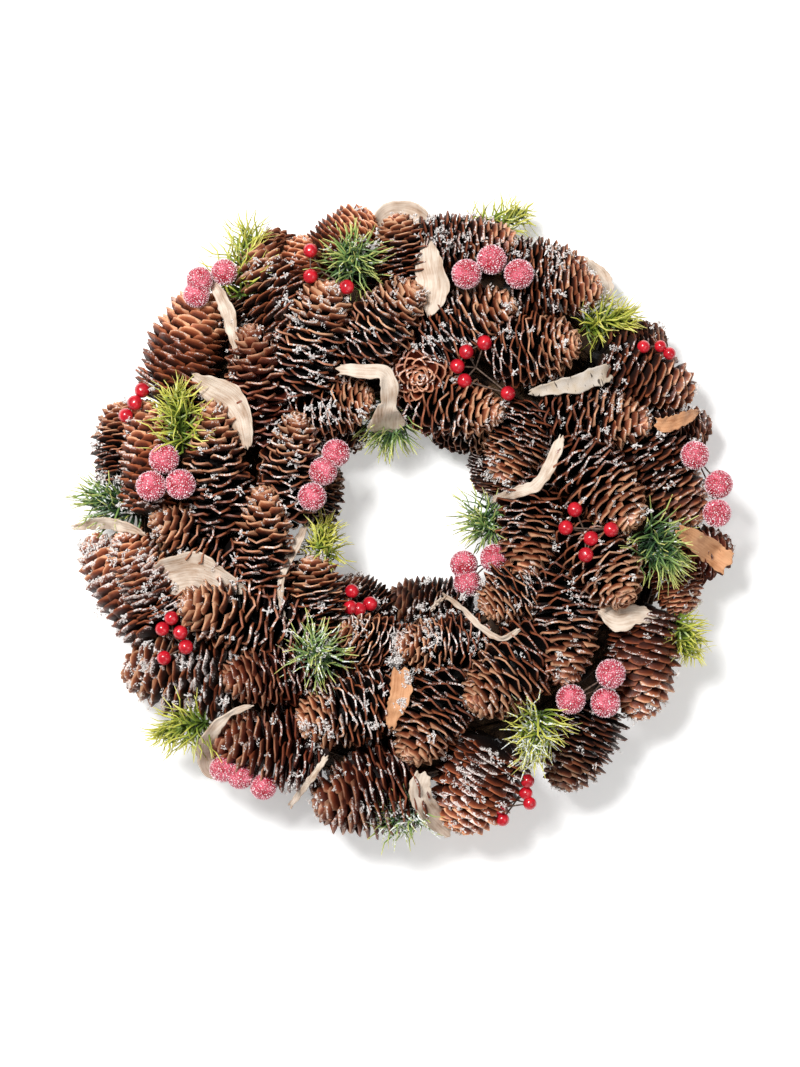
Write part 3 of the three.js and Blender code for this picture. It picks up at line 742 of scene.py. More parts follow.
@dataclass(frozen=True)
class ConeScale(Finish):
    """Dry spruce cone scales: near black at the root as painted shade, tan at the rim, with white flock
    caught on the rims.

    The colour follows each scale from root to rim, which draws the rims as light lines over black gaps. The
    black is painted shade in the gaps between the scales, and the palest tan at the rim is partly a painted
    highlight and partly the scale's own paler edge.
    Patches, grain, flecks and drifts of snow are in mm.
    """

    name: str = "spruce_cone_scale"
    roughness: float = 0.5
    relief: float = 0.5
    depth: float = 0.4
    # Painted shade: near black at the root, where the gaps between the scales lie in shadow; the palest stop
    # at the rim is partly a painted highlight.
    stops: Stops = (
        (0.0, "#040101"),
        (0.6, "#0f0402"),
        (0.84, "#280d05"),
        (0.92, "#5b2713"),
        (0.965, "#8e4f31"),
        (1.0, "#d19e7a"),
    )
    red: str = "#6a2413"
    patch: float = 6.0
    patch_strength: float = 1.8
    least_light: float = 0.1
    grain: float = 1.0
    snow: str = "#efe6e1"
    fleck: float = 1.1
    fleck_roughness: float = 0.75
    drift: float = 11.0
    drift_edges: Span = (0.36, 0.56)
    snow_edges: Span = (0.94, 1.04)

    def paint(self, tree: Tree, shader: Node) -> None:
        """Links colour by reach, with painted shade towards each scale's root, tone and snow, and a fine
        woody relief.

        Args:
            tree: The node tree.
            shader: The shader.
        """
        reach, tone, redness, frost = (
            add_node(tree, "Attribute", {"attribute_name": name}).outputs["Fac"]
            for name in ("reach", "tone", "redness", "frost")
        )
        # Painted shade and highlight: colour from the near-black root to the pale rim, by each point's
        # reach.
        wood = add_node(tree, "ValToRGB", {"stops": self.stops}, {"Fac": reach})
        settings = {"data_type": "RGBA", 7: linear(self.red)}
        redder = add_node(tree, "Mix", settings, {0: redness, 6: wood.outputs["Color"]})
        patches = pattern(tree, "TexNoise", self.patch, Detail=3.0).outputs["Fac"]
        settings = {"operation": "MULTIPLY_ADD", 1: self.patch_strength}
        bright = add_node(tree, "Math", settings, {0: patches, 2: tone})
        lifted = add_node(tree, "Math", {"operation": "ADD", 1: self.least_light}, {0: bright.outputs[0]})
        links = {"Value": lifted.outputs[0], "Color": redder.outputs[2]}
        varied = add_node(tree, "HueSaturation", {}, links).outputs[0]
        flecks = pattern(tree, "TexNoise", self.fleck, Detail=4.0, Roughness=self.fleck_roughness)
        drifts = pattern(tree, "TexNoise", self.drift, Detail=1.0).outputs["Fac"]
        settings = {"From Min": self.drift_edges[0], "From Max": self.drift_edges[1]}
        lying = add_node(tree, "MapRange", settings, {"Value": drifts}).outputs[0]
        links = {0: frost, 1: lying, 2: flecks.outputs["Fac"]}
        amount = add_node(tree, "Math", {"operation": "MULTIPLY_ADD"}, links).outputs[0]
        colour = covered(tree, varied, amount, self.snow_edges, self.snow)
        grain = pattern(tree, "TexNoise", self.grain, Detail=3.0)
        self.link(tree, shader, colour, grain.outputs["Fac"])


@dataclass(frozen=True)
class PlasticNeedle(Finish):
    """Extruded polyethylene needles: darker at the root, lighter at the tip, with a soft plastic sheen."""

    roughness: float = 0.45
    stops: Stops = ((0.0, "#2e4a1a"), (0.38, "#758a2c"), (0.75, "#c8c550"), (1.0, "#dcd67c"))
    patch: float = 5.0
    darkest: float = 0.6
    lightest: float = 1.4
    snow: str = "#eef2ee"
    fleck: float = 1.5
    snow_edges: Span = (0.98, 1.05)

    def paint(self, tree: Tree, shader: Node) -> None:
        """Links a colour that follows the needle, with flecks of flock on some needles.

        Args:
            tree: The node tree.
            shader: The shader.
        """
        along, frost = (
            add_node(tree, "Attribute", {"attribute_name": name}).outputs["Fac"]
            for name in ("along", "frost")
        )
        plastic = add_node(tree, "ValToRGB", {"stops": self.stops}, {"Fac": along}).outputs["Color"]
        patches = pattern(tree, "TexNoise", self.patch).outputs["Fac"]
        settings = {"To Min": self.darkest, "To Max": self.lightest}
        light = add_node(tree, "MapRange", settings, {"Value": patches}).outputs[0]
        varied = add_node(tree, "HueSaturation", {}, {"Value": light, "Color": plastic}).outputs[0]
        flecks = pattern(tree, "TexNoise", self.fleck).outputs["Fac"]
        amount = add_node(tree, "Math", {"operation": "ADD"}, {0: flecks, 1: frost}).outputs[0]
        self.link(tree, shader, covered(tree, varied, amount, self.snow_edges, self.snow))


@dataclass(frozen=True)
class SugaredBerry(Finish):
    """Foam berry dipped in red paint, under a coat of clear sugar-like grains that lightens it to pink."""

    name: str = "sugared_foam_berry"
    roughness: float = 0.55
    ior: float = 1.45
    relief: float = 0.7
    patch: float = 5.0
    skin: Stops = ((0.35, "#a5182c"), (0.65, "#d66578"))
    grain: float = 1.0
    specks: Stops = ((0.15, "#ffffff"), (0.45, "#9c9c9c"))
    speck_strength: float = 0.6

    def paint(self, tree: Tree, shader: Node) -> None:
        """Links red with paler veiled patches and a grainy relief.

        Args:
            tree: The node tree.
            shader: The shader.
        """
        patches = pattern(tree, "TexNoise", self.patch).outputs["Fac"]
        grains = pattern(tree, "TexVoronoi", self.grain).outputs["Distance"]
        red, speck = (
            add_node(tree, "ValToRGB", {"stops": stops}, {"Fac": value}).outputs["Color"]
            for stops, value in ((self.skin, patches), (self.specks, grains))
        )
        settings = {"data_type": "RGBA", "blend_type": "OVERLAY", 0: self.speck_strength}
        mixed = add_node(tree, "Mix", settings, {6: red, 7: speck})
        self.link(tree, shader, mixed.outputs[2], grains)


@dataclass(frozen=True)
class Patchy(Finish):
    """A finish whose colour runs through stops in soft patches, with a relief of them or of a finer grain.

    Patch and grain are in mm.
    """

    patch: float = 4.0
    detail: float = 2.0
    stops: Stops = ()
    grain: float = 0.0

    def paint(self, tree: Tree, shader: Node) -> None:
        """Links the patches of colour and the relief.

        Args:
            tree: The node tree.
            shader: The shader.
        """
        patches = pattern(tree, "TexNoise", self.patch, Detail=self.detail).outputs["Fac"]
        colour = add_node(tree, "ValToRGB", {"stops": self.stops}, {"Fac": patches}).outputs["Color"]
        grain = pattern(tree, "TexNoise", self.grain, Detail=3.0).outputs["Fac"] if self.grain else patches
        self.link(tree, shader, colour, grain)


@dataclass(frozen=True)
class FlockSnow(Patchy):
    """Artificial snow: white rayon flock in dull, crumbly flakes that grey a little in patches."""

    name: str = "rayon_flock_snow"
    roughness: float = 0.95
    ior: float = 1.35
    relief: float = 0.8
    patch: float = 1.2
    detail: float = 3.0
    stops: Stops = ((0.3, "#c4bcb7"), (0.6, "#f1edea"))


@dataclass(frozen=True)
class SugarGrain(Patchy):
    """Clear plastic sugar grains: near white, with a small sparkle each and some of the berry's pink."""

    name: str = "plastic_sugar_grain"
    roughness: float = 0.25
    patch: float = 2.0
    stops: Stops = ((0.35, "#eab9c1"), (0.6, "#f6e4e7"))


@dataclass(frozen=True)
class LacqueredBerry(Patchy):
    """Moulded plastic berry in red lacquer: saturated, with one soft highlight."""

    name: str = "lacquered_plastic_berry"
    roughness: float = 0.28
    coat: float = 0.4
    relief: float = 0.15
    depth: float = 0.3
    stops: Stops = ((0.35, "#a80f20"), (0.65, "#d01c2c"))


@dataclass(frozen=True)
class FloristWire(Patchy):
    """Thin annealed iron wire wrapped in brown paper: dull, with paler turns."""

    name: str = "paper_wrapped_wire"
    roughness: float = 0.7
    patch: float = 1.5
    stops: Stops = ((0.35, "#3f2f26"), (0.65, "#6f5a4c"))


@dataclass(frozen=True)
class DryTwig(Patchy):
    """Dry willow twigs and straw: rough and brown, with paler strands; the darkest brown, near black, also
    stands for the shade in the gaps under the cones.
    """

    name: str = "dry_willow_twig"
    roughness: float = 0.85
    ior: float = 1.45
    relief: float = 0.7
    depth: float = 0.8
    patch: float = 7.0
    detail: float = 4.0
    # Painted shade: the darkest stop is near black for the shade in the gaps under the cones; the lighter
    # stops are the twigs' own brown.
    stops: Stops = ((0.35, "#1c120b"), (0.55, "#4d3624"), (0.75, "#806344"))
    grain: float = 1.5


@dataclass(frozen=True)
class StripFinish(Finish):
    """A side of a strip of bark, whose marks are drawn from the strip's own UV map.

    The marks' length along the strip, their width across it and the patch are in mm.
    """

    ior: float = 1.45
    mark_length: float = 10.0
    mark_width: float = 10.0
    detail: float = 2.0
    patch: float = 6.0

    def marks(self, tree: Tree) -> Socket:
        """Noise in the size of the marks.

        Args:
            tree: The node tree.

        Returns:
            The noise.
        """
        strip = add_node(tree, "UVMap", {"uv_map": STRIP_MAP}).outputs["UV"]
        closeness = (STRIP_UNIT / self.mark_length, STRIP_UNIT / self.mark_width, 1.0)
        mapping = add_node(tree, "Mapping", {"Scale": closeness}, {"Vector": strip}).outputs["Vector"]
        settings = {"Scale": 1.0, "Detail": self.detail}
        return add_node(tree, "TexNoise", settings, {"Vector": mapping}).outputs["Fac"]


@dataclass(frozen=True)
class BarkInside(StripFinish):
    """The inner side of peeled bark: smooth, with fine grain along the strip and a few darker cracks."""

    name: str = "peeled_birch_inside"
    roughness: float = 0.75
    relief: float = 0.6
    mark_length: float = 12.5
    mark_width: float = 10 / 9
    detail: float = 4.0
    patch: float = 9.0
    light: str = "#dacab9"
    dark: str = "#b29780"
    crack: str = "#7b6552"

    def paint(self, tree: Tree, shader: Node) -> None:
        """Links grain over patches, with the lowest of both as cracks.

        Args:
            tree: The node tree.
            shader: The shader.
        """
        grain = self.marks(tree)
        patches = pattern(tree, "TexNoise", self.patch, Detail=3.0).outputs["Fac"]
        total = add_node(tree, "Math", {"operation": "ADD"}, {0: grain, 1: patches}).outputs[0]
        half = add_node(tree, "Math", {"operation": "MULTIPLY", 1: 0.5}, {0: total}).outputs[0]
        stops = ((0.28, self.crack), (0.38, self.dark), (0.58, self.light), (1.0, self.light))
        colour = add_node(tree, "ValToRGB", {"stops": stops}, {"Fac": half}).outputs["Color"]
        self.link(tree, shader, colour, grain)


@dataclass(frozen=True)
class BirchOutside(StripFinish):
    """The outer side of birch bark: papery grey-white with short dark dashes across the strip."""

    name: str = "birch_paper_outside"
    roughness: float = 0.8
    relief: float = 0.5
    depth: float = 0.4
    mark_length: float = 5 / 3
    mark_width: float = 50 / 7
    paper: Stops = ((0.35, "#b9a893"), (0.6, "#c4b9ad"))
    dash: str = "#4a4038"
    dash_edges: Span = (0.62, 0.66)

    def paint(self, tree: Tree, shader: Node) -> None:
        """Links papery white with dashes over it.

        Args:
            tree: The node tree.
            shader: The shader.
        """
        dashes = self.marks(tree)
        patches = pattern(tree, "TexNoise", self.patch, Detail=3.0).outputs["Fac"]
        paper = add_node(tree, "ValToRGB", {"stops": self.paper}, {"Fac": patches}).outputs["Color"]
        self.link(tree, shader, covered(tree, paper, dashes, self.dash_edges, self.dash), dashes)


@dataclass(frozen=True)
class PalePaper(Finish):
    """The plain pale paper that the wreath lies on, lit from below as on a light table."""

    name: str = "pale_paper"
    roughness: float = 0.9
    colour: str = "#fbfbfa"
    glow: float = 0.3

    def paint(self, tree: Tree, shader: Node) -> None:
        """Sets one colour and its glow.

        Args:
            tree: The node tree; not used.
            shader: The shader.
        """
        shader.inputs["Base Color"].default_value = linear(self.colour)
        shader.inputs["Emission Color"].default_value = linear(self.colour)
        shader.inputs["Emission Strength"].default_value = self.glow


NEEDLE_FINISHES = {
    Needle.YELLOW: PlasticNeedle("yellow_plastic_needle"),
    Needle.GREEN: PlasticNeedle(
        "green_plastic_needle",
        stops=((0.0, "#192e1c"), (0.4, "#395d37"), (0.7, "#78944c"), (1.0, "#d6d37a")),
    ),
}
INSIDE_FINISHES = {
    Bark.PALE: BarkInside(),
    Bark.TAN: BarkInside(
        "peeled_tan_inside", roughness=0.7, light="#d09a70", dark="#ad744b", crack="#6f4229"
    ),
}


def finish_piece(piece: Piece, slot: str, *nodes: str, finish: Finish | None = None) -> None:
    """Dresses a finished piece, rides it on the body and hides the CAD nodes that it stands for.

    Args:
        piece: The piece.
        slot: The name of a material slot; not used.
        nodes: The CAD nodes that the piece stands for.
        finish: The piece's finish, where it has none yet.
    """
    if finish:
        finish.dress(piece)
    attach(piece, BODY)
    if nodes:
        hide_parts(*nodes)
    log.info("%s: %d faces", piece.name, len(piece.data.polygons))


@dataclass(frozen=True)
class ScaleShape:
    """The shape of one kind of cone scale, in shares of its length.

    The jags are how uneven the rim of each of its models is.
    """

    jags: tuple[float, ...]
    round_off: float
    cup: float
    hook: float


OPEN_SHAPE = ScaleShape(jags=(0.02, 0.04, 0.06), round_off=0.25, cup=0.07, hook=0.1)
BLUNT_SHAPE = ScaleShape(jags=(0.01, 0.03), round_off=0.3, cup=0.13, hook=0.16)


@dataclass
class ConeModels:
    """Detailed cones standing on +Z, in metres, that every cone of the wreath is copied from.

    Each curve goes over the cone's length, from its base at 0 to its tip at 1. The profile is the reach as a
    share of the radius, the opening is the scales' lean in degrees, and the last two say how fast and from
    what value the colour darkens from a scale's rim towards its root: painted shade, deeper and nearer the
    rim on the cone's base half.
    """

    variants: int = 6
    seed: int = 5
    length: float = 58.0
    radius: float = 18.5
    scale_count: int = 102
    scale_width: float = 13.2
    scale_thickness: float = 0.85
    longest_scale: float = 17.0
    shortest_scale: float = 5.0
    tip_scale: float = 9.0
    blunt_from: float = 0.6
    crowding: float = 0.4
    girth_steps: int = 60
    bud_count: int = 12
    bud_from: float = 0.94
    lowest_scale: float = 0.02
    sunk_root: float = 0.6
    flattest: float = 0.35
    narrowest: float = 0.22
    narrowing: float = 1.2
    core_share: float = 0.22
    core_length: float = 0.94
    core_end: float = 0.55
    core_cuts: tuple[float, ...] = (0.3, 0.6, 0.85)
    core_shade: float = 0.12
    row_widths: tuple[float, ...] = (0.16, 0.5, 0.42)
    row_reaches: tuple[float, ...] = (0.0, 0.8, 1.0)
    rise_jag: float = 0.8
    side_rim: float = 0.18
    lean_variety: float = 6.0
    tilt_variety: float = 0.12
    peak_variety: float = 0.02
    reach_variety: Span = (0.9, 1.04)
    width_variety: Span = (0.88, 1.08)
    shade_fall_variety: Span = (0.85, 1.15)
    profile: Curve = (
        (0.0, 0.78), (0.1, 0.95), (0.28, 1.0), (0.5, 0.96), (0.7, 0.86), (0.83, 0.73), (0.92, 0.55),
        (0.97, 0.37), (1.0, 0.14),
    )
    opening: Curve = (
        (0.0, 98.0), (0.2, 88.0), (0.42, 85.0), (0.6, 79.0), (0.74, 71.0), (0.85, 60.0), (0.94, 44.0),
        (1.0, 6.0),
    )
    # Painted shade: how fast the colour darkens from a scale's rim to its root, and how bright the rim is,
    # darker on the base half.
    shade_fall: Curve = ((0.0, 1.6), (0.45, 1.4), (0.62, 1.0), (0.76, 0.58), (0.88, 0.4), (1.0, 0.28))
    peak: Curve = ((0.0, 0.94), (0.4, 0.96), (0.6, 0.985), (1.0, 1.0))
    models: list[Piece] = field(default_factory=list)

    def scale_model(self, shape: ScaleShape, jag: float, rng: random.Random) -> Piece:
        """One cupped scale in a unit square: root at the origin, reaching along +Y, its inner face up.

        Args:
            shape: The kind's shape.
            jag: How uneven the rim is.
            rng: The random generator.

        Returns:
            The scale.
        """
        last = len(self.row_reaches) - 1
        scale = added(bpy.ops.mesh.primitive_grid_add, x_subdivisions=4, y_subdivisions=last, size=1.0)
        points = points_of(scale)
        shaped = np.empty_like(points)
        share = np.empty(len(points))
        for i, (x, y, _) in enumerate(points):
            row = round((y + 0.5) * last)
            reach = self.row_reaches[row]
            side = x * 2
            back = shape.round_off * side * side * reach + jag * rng.uniform(-1, 1) * (row == last)
            up = shape.cup * side * side * reach + shape.hook * reach**4
            uneven = jag * rng.uniform(-self.rise_jag, self.rise_jag)
            shaped[i] = (side * self.row_widths[row], reach - back, up + uneven)
            # The reach drives the painted shade: the side corners next to the rim take the rim's lighter
            # colour.
            at_side = abs(side) > 0.9 and row == last - 1
            share[i] = min(1.0, reach + self.side_rim * at_side)
        move_points(scale, shaped)
        set_values(scale, "reach", share)
        thicken(scale, self.scale_thickness / self.scale_width)
        smooth(scale, 50)
        return scale

    def core_radius(self, along: float) -> float:
        """The spindle's radius in mm at a share of the cone's length."""
        return self.radius * self.core_share * (0.5 + 0.5 * curve_at(self.profile, along))

    def core_model(self) -> Piece:
        """The cone's woody spindle, tapered from base to tip, painted near black as the shade it lies in.

        Returns:
            The spindle.
        """
        core = cut_column(8, self.core_cuts)
        points = points_of(core)
        for point in points:
            is_end = point[2] > 0.99
            point[:2] *= self.core_radius(point[2]) * (self.core_end if is_end else 1.0) * MM
            point[2] *= self.length * self.core_length * MM
        move_points(core, points)
        # Painted shade: the spindle takes the near-black colour of the scales' roots.
        set_values(core, "reach", self.core_shade)
        set_values(core, "rim", 0.0)
        return core

    def along_of(self, number: int) -> float:
        """How far along the cone a scale sits, with the scales as close as the cone's girth lets them be.

        Args:
            number: The scale's number from base to tip.

        Returns:
            The share of the cone's length.
        """
        if number >= self.scale_count:
            return self.bud_from + (1.0 - self.bud_from) * (number - self.scale_count) / self.bud_count
        steps = np.linspace(0, 1, self.girth_steps)
        room = np.cumsum([curve_at(self.profile, step) ** self.crowding for step in steps])
        return float(np.interp((number + 0.5) / self.scale_count, room / room[-1], steps))

    def scale_place(self, number: int, rng: random.Random) -> Matrix:
        """Where one scale of the spiral goes.

        Args:
            number: The scale's number from base to tip.
            rng: The random generator.

        Returns:
            The matrix from the unit scale to its place on the cone.
        """
        along = self.lowest_scale + (1.0 - self.lowest_scale) * self.along_of(number)
        girth = curve_at(self.profile, along)
        opening = curve_at(self.opening, along)
        lean = math.radians(opening + rng.uniform(-self.lean_variety, self.lean_variety))
        reach = self.radius * girth * rng.uniform(*self.reach_variety)
        room = reach - self.core_radius(along) * self.sunk_root
        longest = curve_at(((self.blunt_from, self.longest_scale), (1.0, self.tip_scale)), along)
        length = max(min(room / max(math.sin(lean), self.flattest), longest), self.shortest_scale)
        width = self.scale_width * (self.narrowest + (1.0 - self.narrowest) * girth**self.narrowing)
        width *= rng.uniform(*self.width_variety)
        height = along * self.length - length * math.cos(lean)
        start = reach - length * math.sin(lean)
        away = Matrix.Translation((0, start * MM, height * MM))
        out = Matrix.Rotation(number * GOLDEN_ANGLE, 4, "Z") @ away
        twist = Matrix.Rotation(rng.uniform(-self.tilt_variety, self.tilt_variety), 4, "Y")
        tilt = Matrix.Rotation(math.pi / 2 - lean, 4, "X") @ twist
        return out @ tilt @ Matrix.Diagonal((width * MM, length * MM, self.scale_width * MM, 1.0))

    def build(self) -> None:
        """Models the scales and the spindle, and makes each cone model from copies of them."""
        rng = random.Random(self.seed)
        open_scales, blunt_scales = (
            [self.scale_model(shape, jag, rng) for jag in shape.jags] for shape in (OPEN_SHAPE, BLUNT_SHAPE)
        )
        core = self.core_model()
        for variant in range(self.variants):
            parts = []
            for number in range(self.scale_count + self.bud_count):
                along = self.along_of(number)
                kind = blunt_scales if along > self.blunt_from else open_scales
                scale = copied(rng.choice(kind), self.scale_place(number, rng))
                # Painted shade: the colour darkens from each scale's rim towards its root, faster and from a
                # darker rim on the base half.
                dim = curve_at(self.shade_fall, along) * rng.uniform(*self.shade_fall_variety)
                peak = curve_at(self.peak, along) + rng.uniform(-self.peak_variety, self.peak_variety)
                reach = get_values(scale, "reach")
                set_values(scale, "rim", reach)
                set_values(scale, "reach", np.clip(peak - (1.0 - reach) * dim, 0.0, 1.0))
                set_values(scale, "scale", float(number + 1))
                parts.append(scale)
            spindle = copied(core, Matrix.Identity(4))
            set_values(spindle, "scale", 0.0)
            self.models.append(join([*parts, spindle], f"cone_model_{variant}"))
        remove([*open_scales, *blunt_scales, core])


@dataclass
class Cone:
    """One cone of the wreath: where it lies, how wide it is and how it looks."""

    tip: Vector
    base: Vector
    radius: float
    tone: Tone
    snow: float
    number: int
    held_at: float = 0.4

    @property
    def height(self) -> float:
        """How high the cone lies, for telling which of two covers the other."""
        return self.tip.z + self.base.z

    @property
    def hour(self) -> int:
        """The clock hour of the bunch that the cone belongs to.

        Returns:
            The hour from 1 to 12.
        """
        held = self.base.lerp(self.tip, self.held_at) - MIDDLE
        turned = math.atan2(held.x, held.y) / math.tau * HOURS
        return math.floor(turned + 0.5) % HOURS or HOURS

    def holds(self, points: np.ndarray, models: ConeModels, share: float) -> np.ndarray:
        """Which points lie deep inside this cone.

        Args:
            points: Rows of x, y, z.
            models: The cone models, for their profile.
            share: How deep, as a share of the cone's reach.

        Returns:
            One truth value a point.
        """
        axis = np.array(self.tip - self.base)
        length = float(np.linalg.norm(axis))
        axis /= length
        relative = points - np.array(self.base)
        along = relative @ axis / length
        apart = np.linalg.norm(relative - np.outer(along * length, axis), axis=1)
        reach = np.interp(along, *zip(*models.profile), left=0.0, right=0.0) * self.radius * share
        return apart < reach


@dataclass
class Snow:
    """Clumps of artificial snow, caught on the rims of the scales that face the front.

    A clump is a loose row of short pointed fibres, in shares of its size. Sizes, drift and scatter are
    in mm.
    """

    variants: int = 5
    seed: int = 3
    first_seed: int = 900
    fibres: int = 11
    fibre_width: float = 0.17
    fibre_lengths: Span = (0.14, 0.42)
    width_variety: Span = (0.6, 1.4)
    spread: tuple[float, float, float] = (0.5, 0.28, 0.15)
    slant: float = 0.6
    smallest: float = 1.2
    largest: float = 3.8
    most: int = 95
    drift: float = 4.0
    drift_ratios: tuple[float, float, float] = (1.0, 1.3, 0.8)
    caught_from: float = 0.2
    rim_from: float = 0.93
    up_from: float = 0.1
    scatter: float = 1.2
    models: list[Piece] = field(default_factory=list)

    def clump_model(self, name: str, rng: random.Random) -> Piece:
        """One clump with a reach of about one.

        Args:
            name: The model's name.
            rng: The random generator.

        Returns:
            The clump.
        """
        fibre = added(bpy.ops.mesh.primitive_cone_add, vertices=4, radius1=1.0, depth=2.0)
        parts = []
        for _ in range(self.fibres):
            place = Vector([rng.gauss(0, spread) for spread in self.spread])
            way = Vector([rng.uniform(-most, most) for most in (1, 1, self.slant)]).normalized()
            wide = self.fibre_width * rng.uniform(*self.width_variety)
            scale = Vector((wide, wide, rng.uniform(*self.fibre_lengths)))
            parts.append(copied(fibre, stand_along(place, place + way, 0.0, scale)))
        remove([fibre])
        return join(parts, name)

    def build(self) -> None:
        """Models the clumps."""
        rng = random.Random(self.seed)
        self.models = [self.clump_model(f"clump_model_{i}", rng) for i in range(self.variants)]

    def clump_at(self, place: Vector, size: float, rng: random.Random) -> Piece:
        """Copies a clump to a place.

        Args:
            place: The place.
            size: The clump's size in metres.
            rng: The random generator.

        Returns:
            The clump.
        """
        matrix = Matrix.Translation(place) @ Matrix.Rotation(rng.uniform(0, math.tau), 4, "Z")
        return copied(rng.choice(self.models), matrix @ Matrix.Scale(size, 4))

    def fall_on(self, piece: Piece, cone: Cone) -> list[Piece]:
        """Copies clumps onto a cone.

        Args:
            piece: The cone's piece.
            cone: The cone.

        Returns:
            The clumps.
        """
        rng = random.Random(self.first_seed + cone.number)
        points = points_of(piece)
        waves = np.sin((points / (self.drift * MM) + cone.number) * self.drift_ratios).sum(axis=1)
        is_rim = get_values(piece, "rim") > self.rim_from
        is_up = points_of(piece, "normal")[:, 2] > self.up_from
        caught = np.flatnonzero(is_rim & is_up & (waves > self.caught_from))
        if not len(caught):
            return []
        clumps = []
        for _ in range(round(self.most * cone.snow)):
            spot = int(caught[rng.randrange(len(caught))])
            aside = Vector([rng.uniform(-self.scatter, self.scatter) * MM for _ in range(3)])
            size = self.smallest + (self.largest - self.smallest) * rng.random() ** 2
            clumps.append(self.clump_at(Vector(points[spot]) + aside, size * MM, rng))
        return clumps


@dataclass
class ConeBunches:
    """All the cones, copied from the models, fitted to each other and joined by the clock hour."""

    opened: ConeModels
    closed: ConeModels
    first_seed: int = 100
    grown: float = 1.14
    hidden_base: float = 0.14
    raised: float = 4.0
    deep: float = 0.8
    rim_from: float = 0.9
    least_weight: float = 1e-9
    tone_variety: float = 0.1
    redness: float = 0.5
    up_slope: float = 1.2
    up_level: float = 0.6
    frost_from: float = 0.8
    frost_spread: float = 0.12
    frost_fade: float = 0.2
    least_frost: float = 0.42
    more_frost: float = 0.14
    cones: list[Cone] = field(default_factory=list)

    def read_places(self) -> None:
        """Turns the table of cones to places."""
        for number, (tx, ty, tr, bx, by, br, width, tone, snow) in enumerate(CONES):
            tip = placed(tx, ty, tr + self.raised)
            base = placed(bx, by, br - self.raised)
            base = base + (base - tip) * self.hidden_base
            self.cones.append(Cone(tip, base, width / 2 * MM * self.grown, tone, snow, number))

    def cone_piece(self, cone: Cone) -> Piece:
        """One cone in its place, without the scales that higher cones hide and those under the floor.

        Args:
            cone: The cone.

        Returns:
            The cone as a piece.
        """
        rng = random.Random(self.first_seed + cone.number)
        brightness, redness, is_closed = cone.tone.value
        models = self.closed if is_closed else self.opened
        model = models.models[cone.number % models.variants]
        length = (cone.tip - cone.base).length
        wide = cone.radius / (models.radius * MM)
        scale = Vector((wide, wide, length / (models.length * MM)))
        piece = copied(model, stand_along(cone.base, cone.tip, rng.uniform(0, math.tau), scale))
        self.drop_hidden(piece, cone)
        keep_above(piece, LOWEST * MM)
        # The tone is each cone's brightness, with painted shade in the darkest tone.
        set_values(piece, "tone", brightness + rng.uniform(-self.tone_variety, self.tone_variety))
        set_values(piece, "redness", redness * self.redness)
        snow = min(1.0, cone.snow)
        up = np.clip(points_of(piece, "normal")[:, 2] * self.up_slope + self.up_level, 0, 1)
        inside = get_values(piece, "rim") - self.frost_from + self.frost_spread * snow
        rim = np.clip(inside / self.frost_fade, 0, 1)
        set_values(piece, "frost", (self.least_frost + self.more_frost * snow) * up * rim)
        return piece

    def drop_hidden(self, piece: Piece, cone: Cone) -> None:
        """Deletes the scales of a cone that lie deep inside a higher cone or under the floor.

        Args:
            piece: The cone's piece.
            cone: The cone.
        """
        points = points_of(piece)
        owner = np.rint(get_values(piece, "scale")).astype(int)
        rims = np.where(get_values(piece, "rim") > self.rim_from, 1.0, 0.0)
        weight = np.maximum(np.bincount(owner, weights=rims), self.least_weight)
        middles = [np.bincount(owner, weights=points[:, k] * rims) / weight for k in range(3)]
        centres = np.stack(middles, axis=1)
        hidden = centres[:, 2] < LOWEST * MM
        for other in self.cones:
            if other.height > cone.height:
                hidden |= other.holds(centres, self.opened, self.deep)
        hidden[0] = False
        pick(piece)
        bpy.ops.object.mode_set(mode="EDIT")
        bpy.ops.mesh.select_mode(type="VERT")
        bpy.ops.mesh.select_all(action="DESELECT")
        bpy.ops.object.mode_set(mode="OBJECT")
        piece.data.vertices.foreach_set("select", hidden[owner])
        bpy.ops.object.mode_set(mode="EDIT")
        bpy.ops.mesh.delete(type="VERT")
        bpy.ops.object.mode_set(mode="OBJECT")

    def build(self, snow: Snow) -> None:
        """Makes every bunch and the snow on it.

        Args:
            snow: The snow.
        """
        self.read_places()
        for hour in range(1, HOURS + 1):
            own = [cone for cone in self.cones if cone.hour == hour]
            pieces = [self.cone_piece(cone) for cone in own]
            clumps = [clump for cone, piece in zip(own, pieces) for clump in snow.fall_on(piece, cone)]
            bunch = join(pieces, f"cone_bunch_{hour}")
            finish_piece(bunch, "cone", f"cones_{hour}", finish=ConeScale())
            if clumps:
                finish_piece(join(clumps, f"snow_{hour}"), "cone", finish=FlockSnow())


